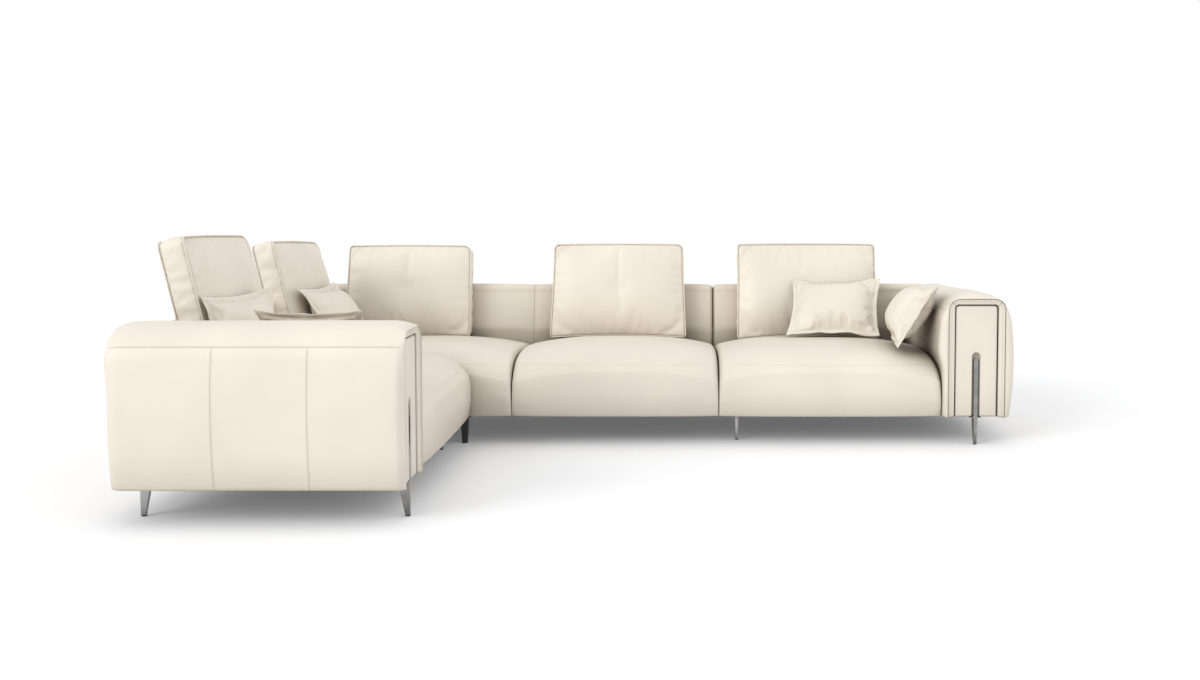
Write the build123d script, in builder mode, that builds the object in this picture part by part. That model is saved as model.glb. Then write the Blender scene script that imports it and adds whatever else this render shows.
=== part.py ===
from build123d import *
import os
from math import cos, radians, sin, tan

# Driving dimensions of the sofa, in millimetres and degrees

# Plan: an L of three modules, the long run along X and the left run towards -Y
run_width = 3420
module_depth = 1000
end_module_width = 1320
corner_seat_reach = 1168

# Heights above the floor
underside_height = 125
seat_rear_height = 400
seat_crown_height = 434
seat_shoulder_height = 404
seat_edge_height = 328
back_height = 650
arm_height = 683

# Clearances
seam_gap = 0.6
soft_gap = 0.4
screw_clearance = 0.25

# Timber base frames, their straps and their dust covers
rail_thickness = 30
rail_height = 65
leg_block = 92
dust_cover_thickness = 2
strap_thickness = 2
strap_width = 60
straps_per_seat = 8

# Padding between the timber and the outside of the leather
front_padding = 65
corner_front_padding = 38
joint_padding = 15
rear_padding = 20
arm_side_padding = 18

# Seats: the ends of the crown drop and pull in along a curve that flattens to the middle
seat_shoulder_depth = 88
seat_edge_setback = 6
seat_front_tuck = 14
seat_end_drop = 46
seat_end_pull = 16
seat_end_power = 3
seat_station = 0.4
seat_arm_gap = 2.5
corner_front_gap = 3

# Low backs
back_top_thickness = 75
back_top_radius = 26
recline = 13
lean_start_height = 420
board_thickness = 25
board_top_margin = 58
board_bottom_band = 150
board_window_width = 220
board_window_height = 210
board_window_pitch = 290

# Arms: a barrel section along the depth, rounded over at the rear and into the band in front
arm_width = 340
arm_foot_width = 300
arm_bulge_height = 373
arm_shoulder_width = 316
arm_shoulder_height = 566
arm_crown_width = 170
arm_crown_fall = 16
arm_front_setback = 10
arm_front_radius = 41
arm_rear_radius = 46
arm_frame_width = 210
arm_frame_height = 395
arm_rib_thickness = 22
arm_rib_count = 4

# Picture-frame band and inset panel on the front of an arm
band_width = 256
band_height = 652
band_depth = 40
band_corner_radius = 38
band_edge_radius = 6
panel_width = 190
panel_height = 628
panel_corner_radius = 18
panel_recess = 6
panel_edge_radius = 7
panel_gap = 2
groove_width = 24
groove_depth = 14
groove_flare = 20
groove_top = 409

# Chrome legs
blade_width = 18
blade_depth = 12.5
blade_top = 391
fin_top_length = 40
fin_foot_length = 18
fin_foot_width = 14
fin_edge_radius = 3
leg_plate_length = 84
leg_plate_width = 50
leg_plate_thickness = 4
blade_plate_length = 104
rear_leg_inset = 66
joint_leg_inset = 84
joint_leg_setback = 137
glide_thickness = 5
glide_margin = 1

# Black legs of the corner module
stub_top_size = 36
stub_foot_size = 24
stub_flange_size = 64
stub_corner_radius = 5
stub_front_setback = 57
stub_side_setback = 47
stub_rear_inset = 84
stub_screw_spacing = 50

# Screws and bolts
screw_radius = 3
screw_length = 34
screw_head_radius = 6
screw_head_height = 3
screw_spacing = 34
bolt_radius = 4
bolt_head_radius = 8
bolt_head_height = 5
side_bolt_shares = (0.35, 0.65)

# Couplers under the module joints
coupler_width = 40
coupler_screw_spacing = 20
coupler_near = 330
coupler_far = 690
tongue_reach = 60
tongue_grip = 85
keeper_length = 36
keeper_thickness = 4
keeper_flange = 22
keeper_slack = 1

# Back cushions
cushion_boxing = 95
cushion_crown = 46
cushion_edge_crown = 10
cushion_top_crown = 12
cushion_end_drop = 10
left_cushion_width = 664
left_cushion_height = 558
left_cushion_shift = 80
return_cushion_width = 660
return_cushion_height = 499
return_cushion_start = 8
return_cushion_sink = 7
corner_cushion_width = 646
corner_cushion_height = 448
corner_cushion_start = 206
middle_cushion_width = 693
middle_cushion_height = 455
middle_cushion_shift = -24
right_cushion_width = 716
right_cushion_height = 456
right_cushion_shift = -9

# Throw pillows with a flat sewn flange
pillow_flange = 34
pillow_flange_thickness = 5
pillow_draw_in = 9
pillow_edge_bulge = 4

# Each pillow: its size, how far its bottom edge stands from the rear face or from an arm and
# from the joint or the front, how far it sinks below the seat crown, where it faces and its tilt
left_rear_pillow_width = 440
left_rear_pillow_height = 336
left_rear_pillow_swell = 35
left_rear_pillow_from_rear = 318
left_rear_pillow_from_arm = 257
left_rear_pillow_sink = 4.5
left_rear_pillow_facing = -13
left_rear_pillow_tilt = 17
left_arm_pillow_width = 400
left_arm_pillow_height = 345
left_arm_pillow_swell = 45
left_arm_pillow_from_rear = 575
left_arm_pillow_from_arm = 240
left_arm_pillow_sink = 6.2
left_arm_pillow_tilt = 40
return_pillow_width = 450
return_pillow_height = 325
return_pillow_swell = 50
return_pillow_from_rear = 419
return_pillow_from_joint = 236
return_pillow_lift = 0.7
return_pillow_facing = -4
return_pillow_tilt = 35
right_rear_pillow_width = 456
right_rear_pillow_height = 400
right_rear_pillow_swell = 50
right_rear_pillow_from_rear = 534
right_rear_pillow_from_joint = 593
right_rear_pillow_lift = 2.4
right_rear_pillow_facing = -92
right_rear_pillow_tilt = 51
right_arm_pillow_width = 360
right_arm_pillow_height = 340
right_arm_pillow_swell = 45
right_arm_pillow_from_arm = 179
right_arm_pillow_from_front = 235
right_arm_pillow_sink = 3.7
right_arm_pillow_facing = 190
right_arm_pillow_tilt = 35

# Places and levels that follow from the driving dimensions
left_x = -run_width / 2
right_x = run_width / 2
rear_y = (module_depth + end_module_width) / 2
joint_y = rear_y - module_depth
joint_x = right_x - end_module_width
seam_x = left_x + corner_seat_reach
seat_end = end_module_width - arm_width
arm_middle = end_module_width - arm_width / 2
lean = tan(radians(recline))
back_seat_thickness = back_top_thickness + (back_height - lean_start_height) * lean
cover_top = underside_height + dust_cover_thickness
rail_top = cover_top + rail_height
deck_height = rail_top + strap_thickness
frame_side = end_module_width - (arm_width - arm_foot_width) / 2 - arm_side_padding
frame_front = module_depth - front_padding
frame_rear = rear_padding + board_thickness
board_top = back_height - board_top_margin
arm_front = module_depth - arm_front_setback
wrap_front = arm_front - band_depth
panel_front = arm_front - panel_recess
groove_back = panel_front - groove_depth
blade_rear = groove_back + soft_gap
blade_front = blade_rear + blade_depth
plate_bottom = underside_height - leg_plate_thickness
arm_frame_top = rail_top + arm_frame_height
corner_left = left_x + frame_rear
corner_right = joint_x - joint_padding
corner_front = joint_y + corner_front_padding
corner_rear = rear_y - frame_rear

# Leg places in an end module, as distances from the joint and from the rear face
fin_spots = (
    (joint_leg_inset, module_depth - joint_leg_setback, 1),
    (joint_leg_inset, rear_leg_inset, -1),
    (arm_middle, rear_leg_inset, -1),
)
blade_screws_at = frame_front - rail_thickness
leg_spots = [(u, -v) for u, v, way in fin_spots] + [(arm_middle, -blade_screws_at)]

# Leg places in the corner module
stub_spots = (
    (left_x + module_depth - stub_side_setback, joint_y + stub_front_setback),
    (left_x + stub_rear_inset, joint_y + stub_front_setback),
    (left_x + stub_rear_inset, rear_y - stub_rear_inset),
    (joint_x - stub_rear_inset, rear_y - stub_rear_inset),
)

os.makedirs("parts", exist_ok=True)


def write(piece, name):
    """Labels one finished piece and writes it under its name."""
    piece.label = name
    export_step(piece, f"parts/{name}.step")


def write_both_ends(piece, name):
    """Writes a piece of the right end module, and its mirror image turned for the left one."""
    with BuildPart() as right:
        with Locations((joint_x, rear_y, 0)):
            add(piece)
    write(right.part, f"right_{name}")
    twin = mirror(piece, about=Plane.XZ)
    with BuildPart() as left:
        with Locations(Location((left_x, joint_y, 0), (0, 0, -90))):
            add(twin)
    write(left.part, f"left_{name}")


def add_block(low, high, mode=Mode.ADD):
    """A rectangular block between two opposite corners, in the part being built."""
    size = [b - a for a, b in zip(low, high)]
    with Locations(low):
        Box(*size, align=(Align.MIN, Align.MIN, Align.MIN), mode=mode)


def add_panel(low, high, mode=Mode.ADD):
    """A rectangle between two opposite corners, in the sketch being drawn."""
    with Locations(low):
        Rectangle(high[0] - low[0], high[1] - low[1], align=(Align.MIN, Align.MIN), mode=mode)


def paired(spots, spacing):
    """Two screw places either side of each spot, across X."""
    return [(x + side * spacing / 2, y) for x, y in spots for side in (-1, 1)]


def paired_deep(spots, spacing):
    """Two screw places either side of each spot, along Y."""
    return [(x, y + side * spacing / 2) for x, y in spots for side in (-1, 1)]


# Timber, straps, covers and fasteners


def base_frame(low, high, bays, blocks):
    """A ring of rails with cross rails between its bays and a block over each leg."""
    with BuildPart() as frame:
        with BuildSketch(Plane.XY.offset(cover_top)):
            add_panel(low, high)
            for start, end in bays:
                add_panel(
                    (start, low[1] + rail_thickness),
                    (end, high[1] - rail_thickness),
                    Mode.SUBTRACT,
                )
            with Locations(*blocks):
                Rectangle(leg_block, leg_block)
            add_panel(low, high, Mode.INTERSECT)
        extrude(amount=rail_height)
    return frame.part


def bays_between(rails):
    """The open bays between rails given by their middles, in order."""
    half = rail_thickness / 2
    return [(a + half, b - half) for a, b in zip(rails, rails[1:])]


def dust_cover(low, high):
    """The thin cloth sheet stapled under a frame, which the screws pierce."""
    with BuildPart() as cover:
        with BuildSketch(Plane.XY.offset(underside_height)):
            add_panel(low, high)
        extrude(amount=dust_cover_thickness)
    return cover.part


def seat_straps(start, end, front, rear):
    """Elastic straps stretched over the rails from front to rear."""
    pitch = (end - start) / straps_per_seat
    with BuildPart() as straps:
        with BuildSketch(Plane.XY.offset(rail_top)):
            with Locations(((start + end) / 2, (front + rear) / 2)):
                with GridLocations(pitch, 0, straps_per_seat, 1):
                    Rectangle(strap_width, rear - front)
        extrude(amount=strap_thickness)
    return straps.part


def back_board(plane, length, bolts):
    """The upright board inside a low back, with windows that lighten it and bolt holes."""
    windows = int((length - board_window_width) // board_window_pitch) + 1
    with BuildPart() as board:
        with BuildSketch(plane):
            add_panel((0, cover_top), (length, board_top))
            with Locations((length / 2, (cover_top + board_bottom_band + board_top) / 2)):
                with GridLocations(board_window_pitch, 0, windows, 1):
                    Rectangle(board_window_width, board_window_height, mode=Mode.SUBTRACT)
            with Locations(*bolt_places(bolts)):
                Circle(bolt_radius + screw_clearance, mode=Mode.SUBTRACT)
        extrude(amount=board_thickness)
    return board.part


def bolt_places(bolts):
    """Bolt places along a back board and up from the floor, at the middle of the rail."""
    return [(along, cover_top + rail_height / 2) for along in bolts]


def frame_bolts(plane, bolts):
    """Bolts through a back board and the rail in front of it, with their heads on the rail."""
    with BuildPart() as fixings:
        with BuildSketch(plane):
            with Locations(*bolt_places(bolts)):
                Circle(bolt_radius)
        extrude(amount=board_thickness + rail_thickness)
        with BuildSketch(plane.offset(board_thickness + rail_thickness)):
            with Locations(*bolt_places(bolts)):
                RegularPolygon(bolt_head_radius, 6)
        extrude(amount=bolt_head_height)
    return fixings.part


def bolt_bores(plane, bolts):
    """What the bolts of a back board take out of the rail in front of it."""
    with BuildPart() as bores:
        with BuildSketch(plane):
            with Locations(*bolt_places(bolts)):
                Circle(bolt_radius + screw_clearance)
        extrude(amount=board_thickness + rail_thickness)
    return bores.part


def base_screws(spots):
    """Hexagon-head wood screws up through the leg plates and couplers, cut into the timber."""
    with BuildPart() as screws:
        with BuildSketch(Plane.XY.offset(plate_bottom - screw_head_height)):
            with Locations(*spots):
                RegularPolygon(screw_head_radius, 6)
        extrude(amount=screw_head_height)
        with BuildSketch(Plane.XY.offset(plate_bottom)):
            with Locations(*spots):
                Circle(screw_radius)
        extrude(amount=screw_length)
    return screws.part


# Upholstered forms


def seat_form(start, end, rear, front):
    """A crowned seat whose top and front swell between its two drawn-in ends."""
    half = (end - start) / 2
    with BuildPart() as seat:
        for share in (0, seat_station, 1, 2 - seat_station, 2):
            along = start + half * share
            fall = abs(1 - share) ** seat_end_power
            drop = seat_end_drop * fall
            nose = front + seat_end_pull * fall
            back_top = (rear, seat_rear_height - drop)
            crown = ((rear + front) / 2, seat_crown_height - drop)
            shoulder = (nose + seat_shoulder_depth, seat_shoulder_height - drop)
            edge = (nose + seat_edge_setback, seat_edge_height - drop)
            waist = (nose, (seat_edge_height + underside_height) / 2)
            foot = (nose + seat_front_tuck, underside_height)
            with BuildSketch(Plane.YZ.offset(along)):
                with BuildLine():
                    top = ThreePointArc(back_top, crown, shoulder)
                    TangentArc(shoulder, edge, tangent=top % 1)
                    ThreePointArc(edge, waist, foot)
                    Polyline(foot, (rear, underside_height), back_top)
                make_face()
        loft()
    return seat.part


def back_pad(plane, length):
    """A low back: upright behind, leaning in front and rounded over the top."""
    inner_foot = (-back_seat_thickness, underside_height)
    inner_bend = (-back_seat_thickness, lean_start_height)
    with BuildPart() as pad:
        with BuildSketch(plane) as outline:
            with BuildLine():
                Polyline(
                    (0, underside_height),
                    (0, back_height),
                    (-back_top_thickness, back_height),
                    inner_bend,
                    inner_foot,
                    close=True,
                )
            make_face()
            fillet(outline.vertices().group_by(Axis.Y)[-1], back_top_radius)
        extrude(amount=length)
    return pad.part


def arm_form():
    """The padded arm: a barrel section along its depth, rounded over both ends."""
    crown_height = arm_height - arm_crown_fall
    with BuildPart() as arm:
        with BuildSketch(Plane.XZ):
            with BuildLine():
                for side in (-1, 1):
                    outside = ThreePointArc(
                        (arm_middle + side * arm_foot_width / 2, underside_height),
                        (arm_middle + side * arm_width / 2, arm_bulge_height),
                        (arm_middle + side * arm_shoulder_width / 2, arm_shoulder_height),
                    )
                    TangentArc(
                        outside @ 1,
                        (arm_middle + side * arm_crown_width / 2, crown_height),
                        tangent=outside % 1,
                    )
                ThreePointArc(
                    (arm_middle - arm_crown_width / 2, crown_height),
                    (arm_middle, arm_height),
                    (arm_middle + arm_crown_width / 2, crown_height),
                )
                Line(
                    (arm_middle - arm_foot_width / 2, underside_height),
                    (arm_middle + arm_foot_width / 2, underside_height),
                )
            make_face()
        extrude(amount=wrap_front)
        for end, radius in ((0, arm_front_radius), (-1, arm_rear_radius)):
            rim = arm.faces().sort_by(Axis.Y)[end].edges().sort_by(Axis.Z)[1:]
            fillet(rim, radius)
    return arm.part


def leaning_frame(origin, facing, tilt):
    """The frame of a cushion that faces a compass direction and leans back by a tilt."""
    ahead = (cos(radians(facing)), sin(radians(facing)))
    rise = (-ahead[0] * sin(radians(tilt)), -ahead[1] * sin(radians(tilt)), cos(radians(tilt)))
    return Plane(origin, x_dir=(-ahead[1], ahead[0], 0), z_dir=rise)


def section_plane(frame, along):
    """A plane across a leaning frame, drawn backwards and upwards from its base line."""
    return Plane(
        frame.from_local_coords((along, 0, 0)),
        x_dir=frame.y_dir,
        z_dir=frame.x_dir,
    )


def back_cushion(frame, width, height):
    """A box cushion with a flat rear, a crowned front and drawn-in ends."""
    with BuildPart() as cushion:
        for share in (-1, 0, 1):
            along = share * width / 2
            crown = cushion_crown + (cushion_edge_crown - cushion_crown) * share ** 2
            drop = cushion_end_drop * share ** 2
            top = height - drop
            rise = top + cushion_top_crown - drop
            with BuildSketch(section_plane(frame, along)):
                with BuildLine():
                    ThreePointArc((0, top), (-cushion_boxing / 2, rise), (-cushion_boxing, top))
                    ThreePointArc(
                        (-cushion_boxing, top),
                        (-cushion_boxing - crown, top / 2),
                        (-cushion_boxing, 0),
                    )
                    Polyline((-cushion_boxing, 0), (0, 0), (0, top))
                make_face()
        loft()
    return cushion.part


def throw_pillow(frame, width, height, bulge):
    """A lens-shaped pillow inside a flat flange whose sides draw in between the corners."""
    face = Plane(frame.origin, x_dir=frame.x_dir, z_dir=-frame.y_dir)
    half = width / 2
    draw = pillow_draw_in
    lens_half = half - pillow_flange - draw
    low = pillow_flange + draw
    high = height - low
    edge = pillow_flange_thickness / 2
    stations = (
        (-lens_half, pillow_edge_bulge),
        (0, bulge),
        (lens_half, pillow_edge_bulge),
    )
    with BuildPart() as pillow:
        for along, swell in stations:
            with BuildSketch(section_plane(frame, along)):
                with BuildLine():
                    ThreePointArc((-edge, low), (-swell, height / 2), (-edge, high))
                    Line((-edge, high), (edge, high))
                    ThreePointArc((edge, high), (swell, height / 2), (edge, low))
                    Line((edge, low), (-edge, low))
                make_face()
        loft()
        with BuildSketch(face):
            with BuildLine():
                ThreePointArc((-half, 0), (0, draw), (half, 0))
                ThreePointArc((half, 0), (half - draw, height / 2), (half, height))
                ThreePointArc((half, height), (0, height - draw), (-half, height))
                ThreePointArc((-half, height), (draw - half, height / 2), (-half, 0))
            make_face()
        extrude(amount=edge, both=True)
    return pillow.part


# Metal pieces


def tapered_fin(u, out, way):
    """A fin leg that tapers to its foot and keeps its outer edge upright."""
    sections = (
        (plate_bottom, blade_width, fin_top_length),
        (glide_thickness, fin_foot_width, fin_foot_length),
    )
    with BuildPart() as fin:
        for height, wide, long in sections:
            with BuildSketch(Plane.XY.offset(height)):
                with Locations((u, way * long / 2 - out)):
                    RectangleRounded(wide, long, fin_edge_radius)
        loft()
    return fin.part


def fin_legs():
    """The three fin legs of an end module, each under its own screw plate."""
    with BuildPart() as legs:
        for u, v, way in fin_spots:
            add(tapered_fin(u, v + way * fin_top_length / 2, way))
            with BuildSketch(Plane.XY.offset(plate_bottom)):
                with Locations((u, -v)):
                    Rectangle(leg_plate_width, leg_plate_length)
                with Locations(*paired([(u, -v)], screw_spacing)):
                    Circle(screw_radius + screw_clearance, mode=Mode.SUBTRACT)
            extrude(amount=leg_plate_thickness)
    return legs.part


def blade_leg():
    """The blade in the groove of the arm panel, which becomes a fin leg under the arm."""
    arch = blade_top - blade_width / 2
    with BuildPart() as leg:
        add(tapered_fin(arm_middle, blade_front, 1))
        with BuildSketch(Plane.XY.offset(plate_bottom)):
            add_panel(
                (arm_middle - leg_plate_width / 2, -blade_front),
                (arm_middle + leg_plate_width / 2, blade_plate_length - blade_front),
            )
            with Locations(*paired([(arm_middle, -blade_screws_at)], screw_spacing)):
                Circle(screw_radius + screw_clearance, mode=Mode.SUBTRACT)
        extrude(amount=leg_plate_thickness)
        with BuildSketch(Plane.XZ.offset(blade_rear)):
            add_panel(
                (arm_middle - blade_width / 2, plate_bottom),
                (arm_middle + blade_width / 2, arch),
            )
            with Locations((arm_middle, arch)):
                Circle(blade_width / 2)
        extrude(amount=blade_depth)
    return leg.part


def glides():
    """The black pads under the four chrome legs of an end module."""
    feet = [(u, v + way * (fin_top_length - fin_foot_length) / 2) for u, v, way in fin_spots]
    feet.append((arm_middle, blade_front - fin_foot_length / 2))
    with BuildPart() as pads:
        with BuildSketch(Plane.XY):
            with Locations(*[(u, -v) for u, v in feet]):
                RectangleRounded(
                    fin_foot_width - 2 * glide_margin,
                    fin_foot_length - 2 * glide_margin,
                    fin_edge_radius,
                )
        extrude(amount=glide_thickness)
    return pads.part


def corner_leg(spot):
    """A black tapered leg under a square flange."""
    with BuildPart() as leg:
        for height, size in ((plate_bottom, stub_top_size), (0, stub_foot_size)):
            with BuildSketch(Plane.XY.offset(height)):
                with Locations(spot):
                    RectangleRounded(size, size, stub_corner_radius)
        loft()
        with BuildSketch(Plane.XY.offset(plate_bottom)):
            with Locations(spot):
                Rectangle(stub_flange_size, stub_flange_size)
            with Locations(*paired([spot], stub_screw_spacing)):
                Circle(screw_radius + screw_clearance, mode=Mode.SUBTRACT)
        extrude(amount=leg_plate_thickness)
    return leg.part


def keeper_flanges():
    """Screw places in the flanges of the two keepers of an end module."""
    middles = [(joint_padding + rail_thickness / 2, -at) for at in (coupler_near, coupler_far)]
    return paired_deep(middles, coupler_width + 2 * (keeper_slack + keeper_thickness) + keeper_flange)


def coupler_keepers():
    """Hat-shaped keepers under the joint side of an end module that the tongues slide into."""
    inner = coupler_width / 2 + keeper_slack
    outer = inner + keeper_thickness
    hollow = leg_plate_thickness + keeper_slack
    with BuildPart() as keepers:
        for station in (coupler_near, coupler_far):
            with BuildSketch(Plane.YZ.offset(joint_padding)):
                with Locations((-station, underside_height)):
                    add_panel((-outer - keeper_flange, -leg_plate_thickness), (outer + keeper_flange, 0))
                    add_panel((-outer, -hollow - keeper_thickness), (outer, 0))
                    add_panel((-inner, -hollow), (inner, 0), Mode.SUBTRACT)
            extrude(amount=keeper_length)
        with Locations(*[(x, y, underside_height) for x, y in keeper_flanges()]):
            Hole(screw_radius + screw_clearance)
    return keepers.part


# End modules, in a frame with its origin at the joint's rear corner on the floor


def build_end_modules():
    frame_low = (joint_padding, -frame_front)
    frame_high = (frame_side, -frame_rear)
    spots = paired(leg_spots, screw_spacing) + keeper_flanges()
    blocks = [(u, -v) for u, v, way in fin_spots] + [(arm_middle, leg_block / 2 - frame_front)]
    half = rail_thickness / 2
    rails = (joint_padding + half, seat_end / 2, seat_end, frame_side - half)
    board_length = seat_end - 2 * joint_padding
    board_plane = Plane((joint_padding, -rear_padding, 0), x_dir=(1, 0, 0), z_dir=(0, -1, 0))
    pocket_low = (joint_padding - soft_gap, -frame_front - soft_gap, 0)
    pocket_high = (frame_side + soft_gap, soft_gap - rear_padding, deck_height + soft_gap)

    bays = bays_between(rails)
    bolts = [(start + end) / 2 - joint_padding for start, end in bays[:2]]
    frame = base_frame(frame_low, frame_high, bays, blocks)
    with BuildPart() as bored_frame:
        add(frame)
        add(bolt_bores(board_plane, bolts), mode=Mode.SUBTRACT)
    write_both_ends(bored_frame.part, "base_frame")
    cover = dust_cover(frame_low, (frame_side, -rear_padding))
    write_both_ends(cover, "dust_cover")
    straps = seat_straps(joint_padding + rail_thickness, seat_end, -frame_front, -frame_rear)
    write_both_ends(straps, "seat_straps")
    write_both_ends(back_board(board_plane, board_length, bolts), "back_board")
    write_both_ends(frame_bolts(board_plane, bolts), "frame_bolts")
    write_both_ends(base_screws(spots), "base_screws")

    with BuildPart() as arm_frame:
        side = arm_frame_width / 2
        rib_pitch = (frame_front - frame_rear - arm_rib_thickness) / (arm_rib_count - 1)
        for rib in range(arm_rib_count):
            back = -frame_rear - rib * rib_pitch
            add_block(
                (arm_middle - side, back - arm_rib_thickness, rail_top),
                (arm_middle + side, back, arm_frame_top),
            )
        for level in (rail_top, arm_frame_top - arm_rib_thickness):
            add_block(
                (arm_middle - side, -frame_front, level),
                (arm_middle + side, -frame_rear, level + arm_rib_thickness),
            )
    write_both_ends(arm_frame.part, "arm_frame")

    with BuildPart() as seat:
        add(seat_form(
            seam_gap / 2,
            seat_end - seat_arm_gap,
            -back_seat_thickness - seam_gap,
            -module_depth,
        ))
        add_block(pocket_low, (seat_end, 0, deck_height + soft_gap), Mode.SUBTRACT)
    write_both_ends(seat.part, "seat_cushion")

    with BuildPart() as pad:
        pad_plane = Plane((seam_gap / 2, 0, 0), x_dir=(0, 1, 0), z_dir=(1, 0, 0))
        add(back_pad(pad_plane, seat_end - seat_arm_gap - seam_gap / 2))
        add_block(pocket_low, pocket_high, Mode.SUBTRACT)
        add_block(
            (joint_padding - soft_gap, -frame_rear - soft_gap, underside_height),
            (seat_end - joint_padding + soft_gap, soft_gap - rear_padding, board_top + soft_gap),
            Mode.SUBTRACT,
        )
    write_both_ends(pad.part, "back_pad")

    with BuildPart() as wrap:
        add(arm_form())
        add_block(pocket_low, pocket_high, Mode.SUBTRACT)
        add_block(
            (arm_middle - side - soft_gap, -frame_front - soft_gap, underside_height),
            (arm_middle + side + soft_gap, soft_gap - frame_rear, arm_frame_top + soft_gap),
            Mode.SUBTRACT,
        )
    write_both_ends(wrap.part, "arm_wrap")

    opening = panel_width / 2 + panel_gap
    with BuildPart() as band:
        with BuildSketch(Plane.XZ.offset(wrap_front)) as outline:
            add_panel(
                (arm_middle - band_width / 2, underside_height),
                (arm_middle + band_width / 2, band_height),
            )
            fillet(outline.vertices().group_by(Axis.Y)[-1], band_corner_radius)
        extrude(amount=band_depth)
        with BuildSketch(Plane.XZ.offset(wrap_front)) as window:
            add_panel(
                (arm_middle - opening, 0),
                (arm_middle + opening, panel_height + panel_gap),
            )
            fillet(window.vertices().group_by(Axis.Y)[-1], panel_corner_radius + panel_gap)
        extrude(amount=band_depth, mode=Mode.SUBTRACT)
        fillet(band.faces().sort_by(Axis.Y)[0].edges(), band_edge_radius)
    write_both_ends(band.part, "arm_band")

    with BuildPart() as panel:
        with BuildSketch(Plane.XZ.offset(wrap_front)) as outline:
            add_panel(
                (arm_middle - panel_width / 2, cover_top),
                (arm_middle + panel_width / 2, panel_height),
            )
            fillet(outline.vertices().group_by(Axis.Y)[-1], panel_corner_radius)
        extrude(amount=panel_front - wrap_front)
        fillet(panel.faces().sort_by(Axis.Y)[0].edges(), panel_edge_radius)
        with BuildSketch(Plane.XZ.offset(groove_back)):
            with Locations((arm_middle, groove_top - groove_width / 2)):
                Circle(groove_width / 2)
            add_panel(
                (arm_middle - groove_width / 2, 0),
                (arm_middle + groove_width / 2, groove_top - groove_width / 2),
            )
        extrude(amount=groove_depth, taper=-groove_flare, mode=Mode.SUBTRACT)
    write_both_ends(panel.part, "arm_panel")

    write_both_ends(blade_leg(), "blade_leg")
    write_both_ends(fin_legs(), "fin_legs")
    write_both_ends(glides(), "glides")
    write_both_ends(coupler_keepers(), "coupler_keepers")


# Corner module, with the corner seat, the middle seat and the back round two sides


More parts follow.
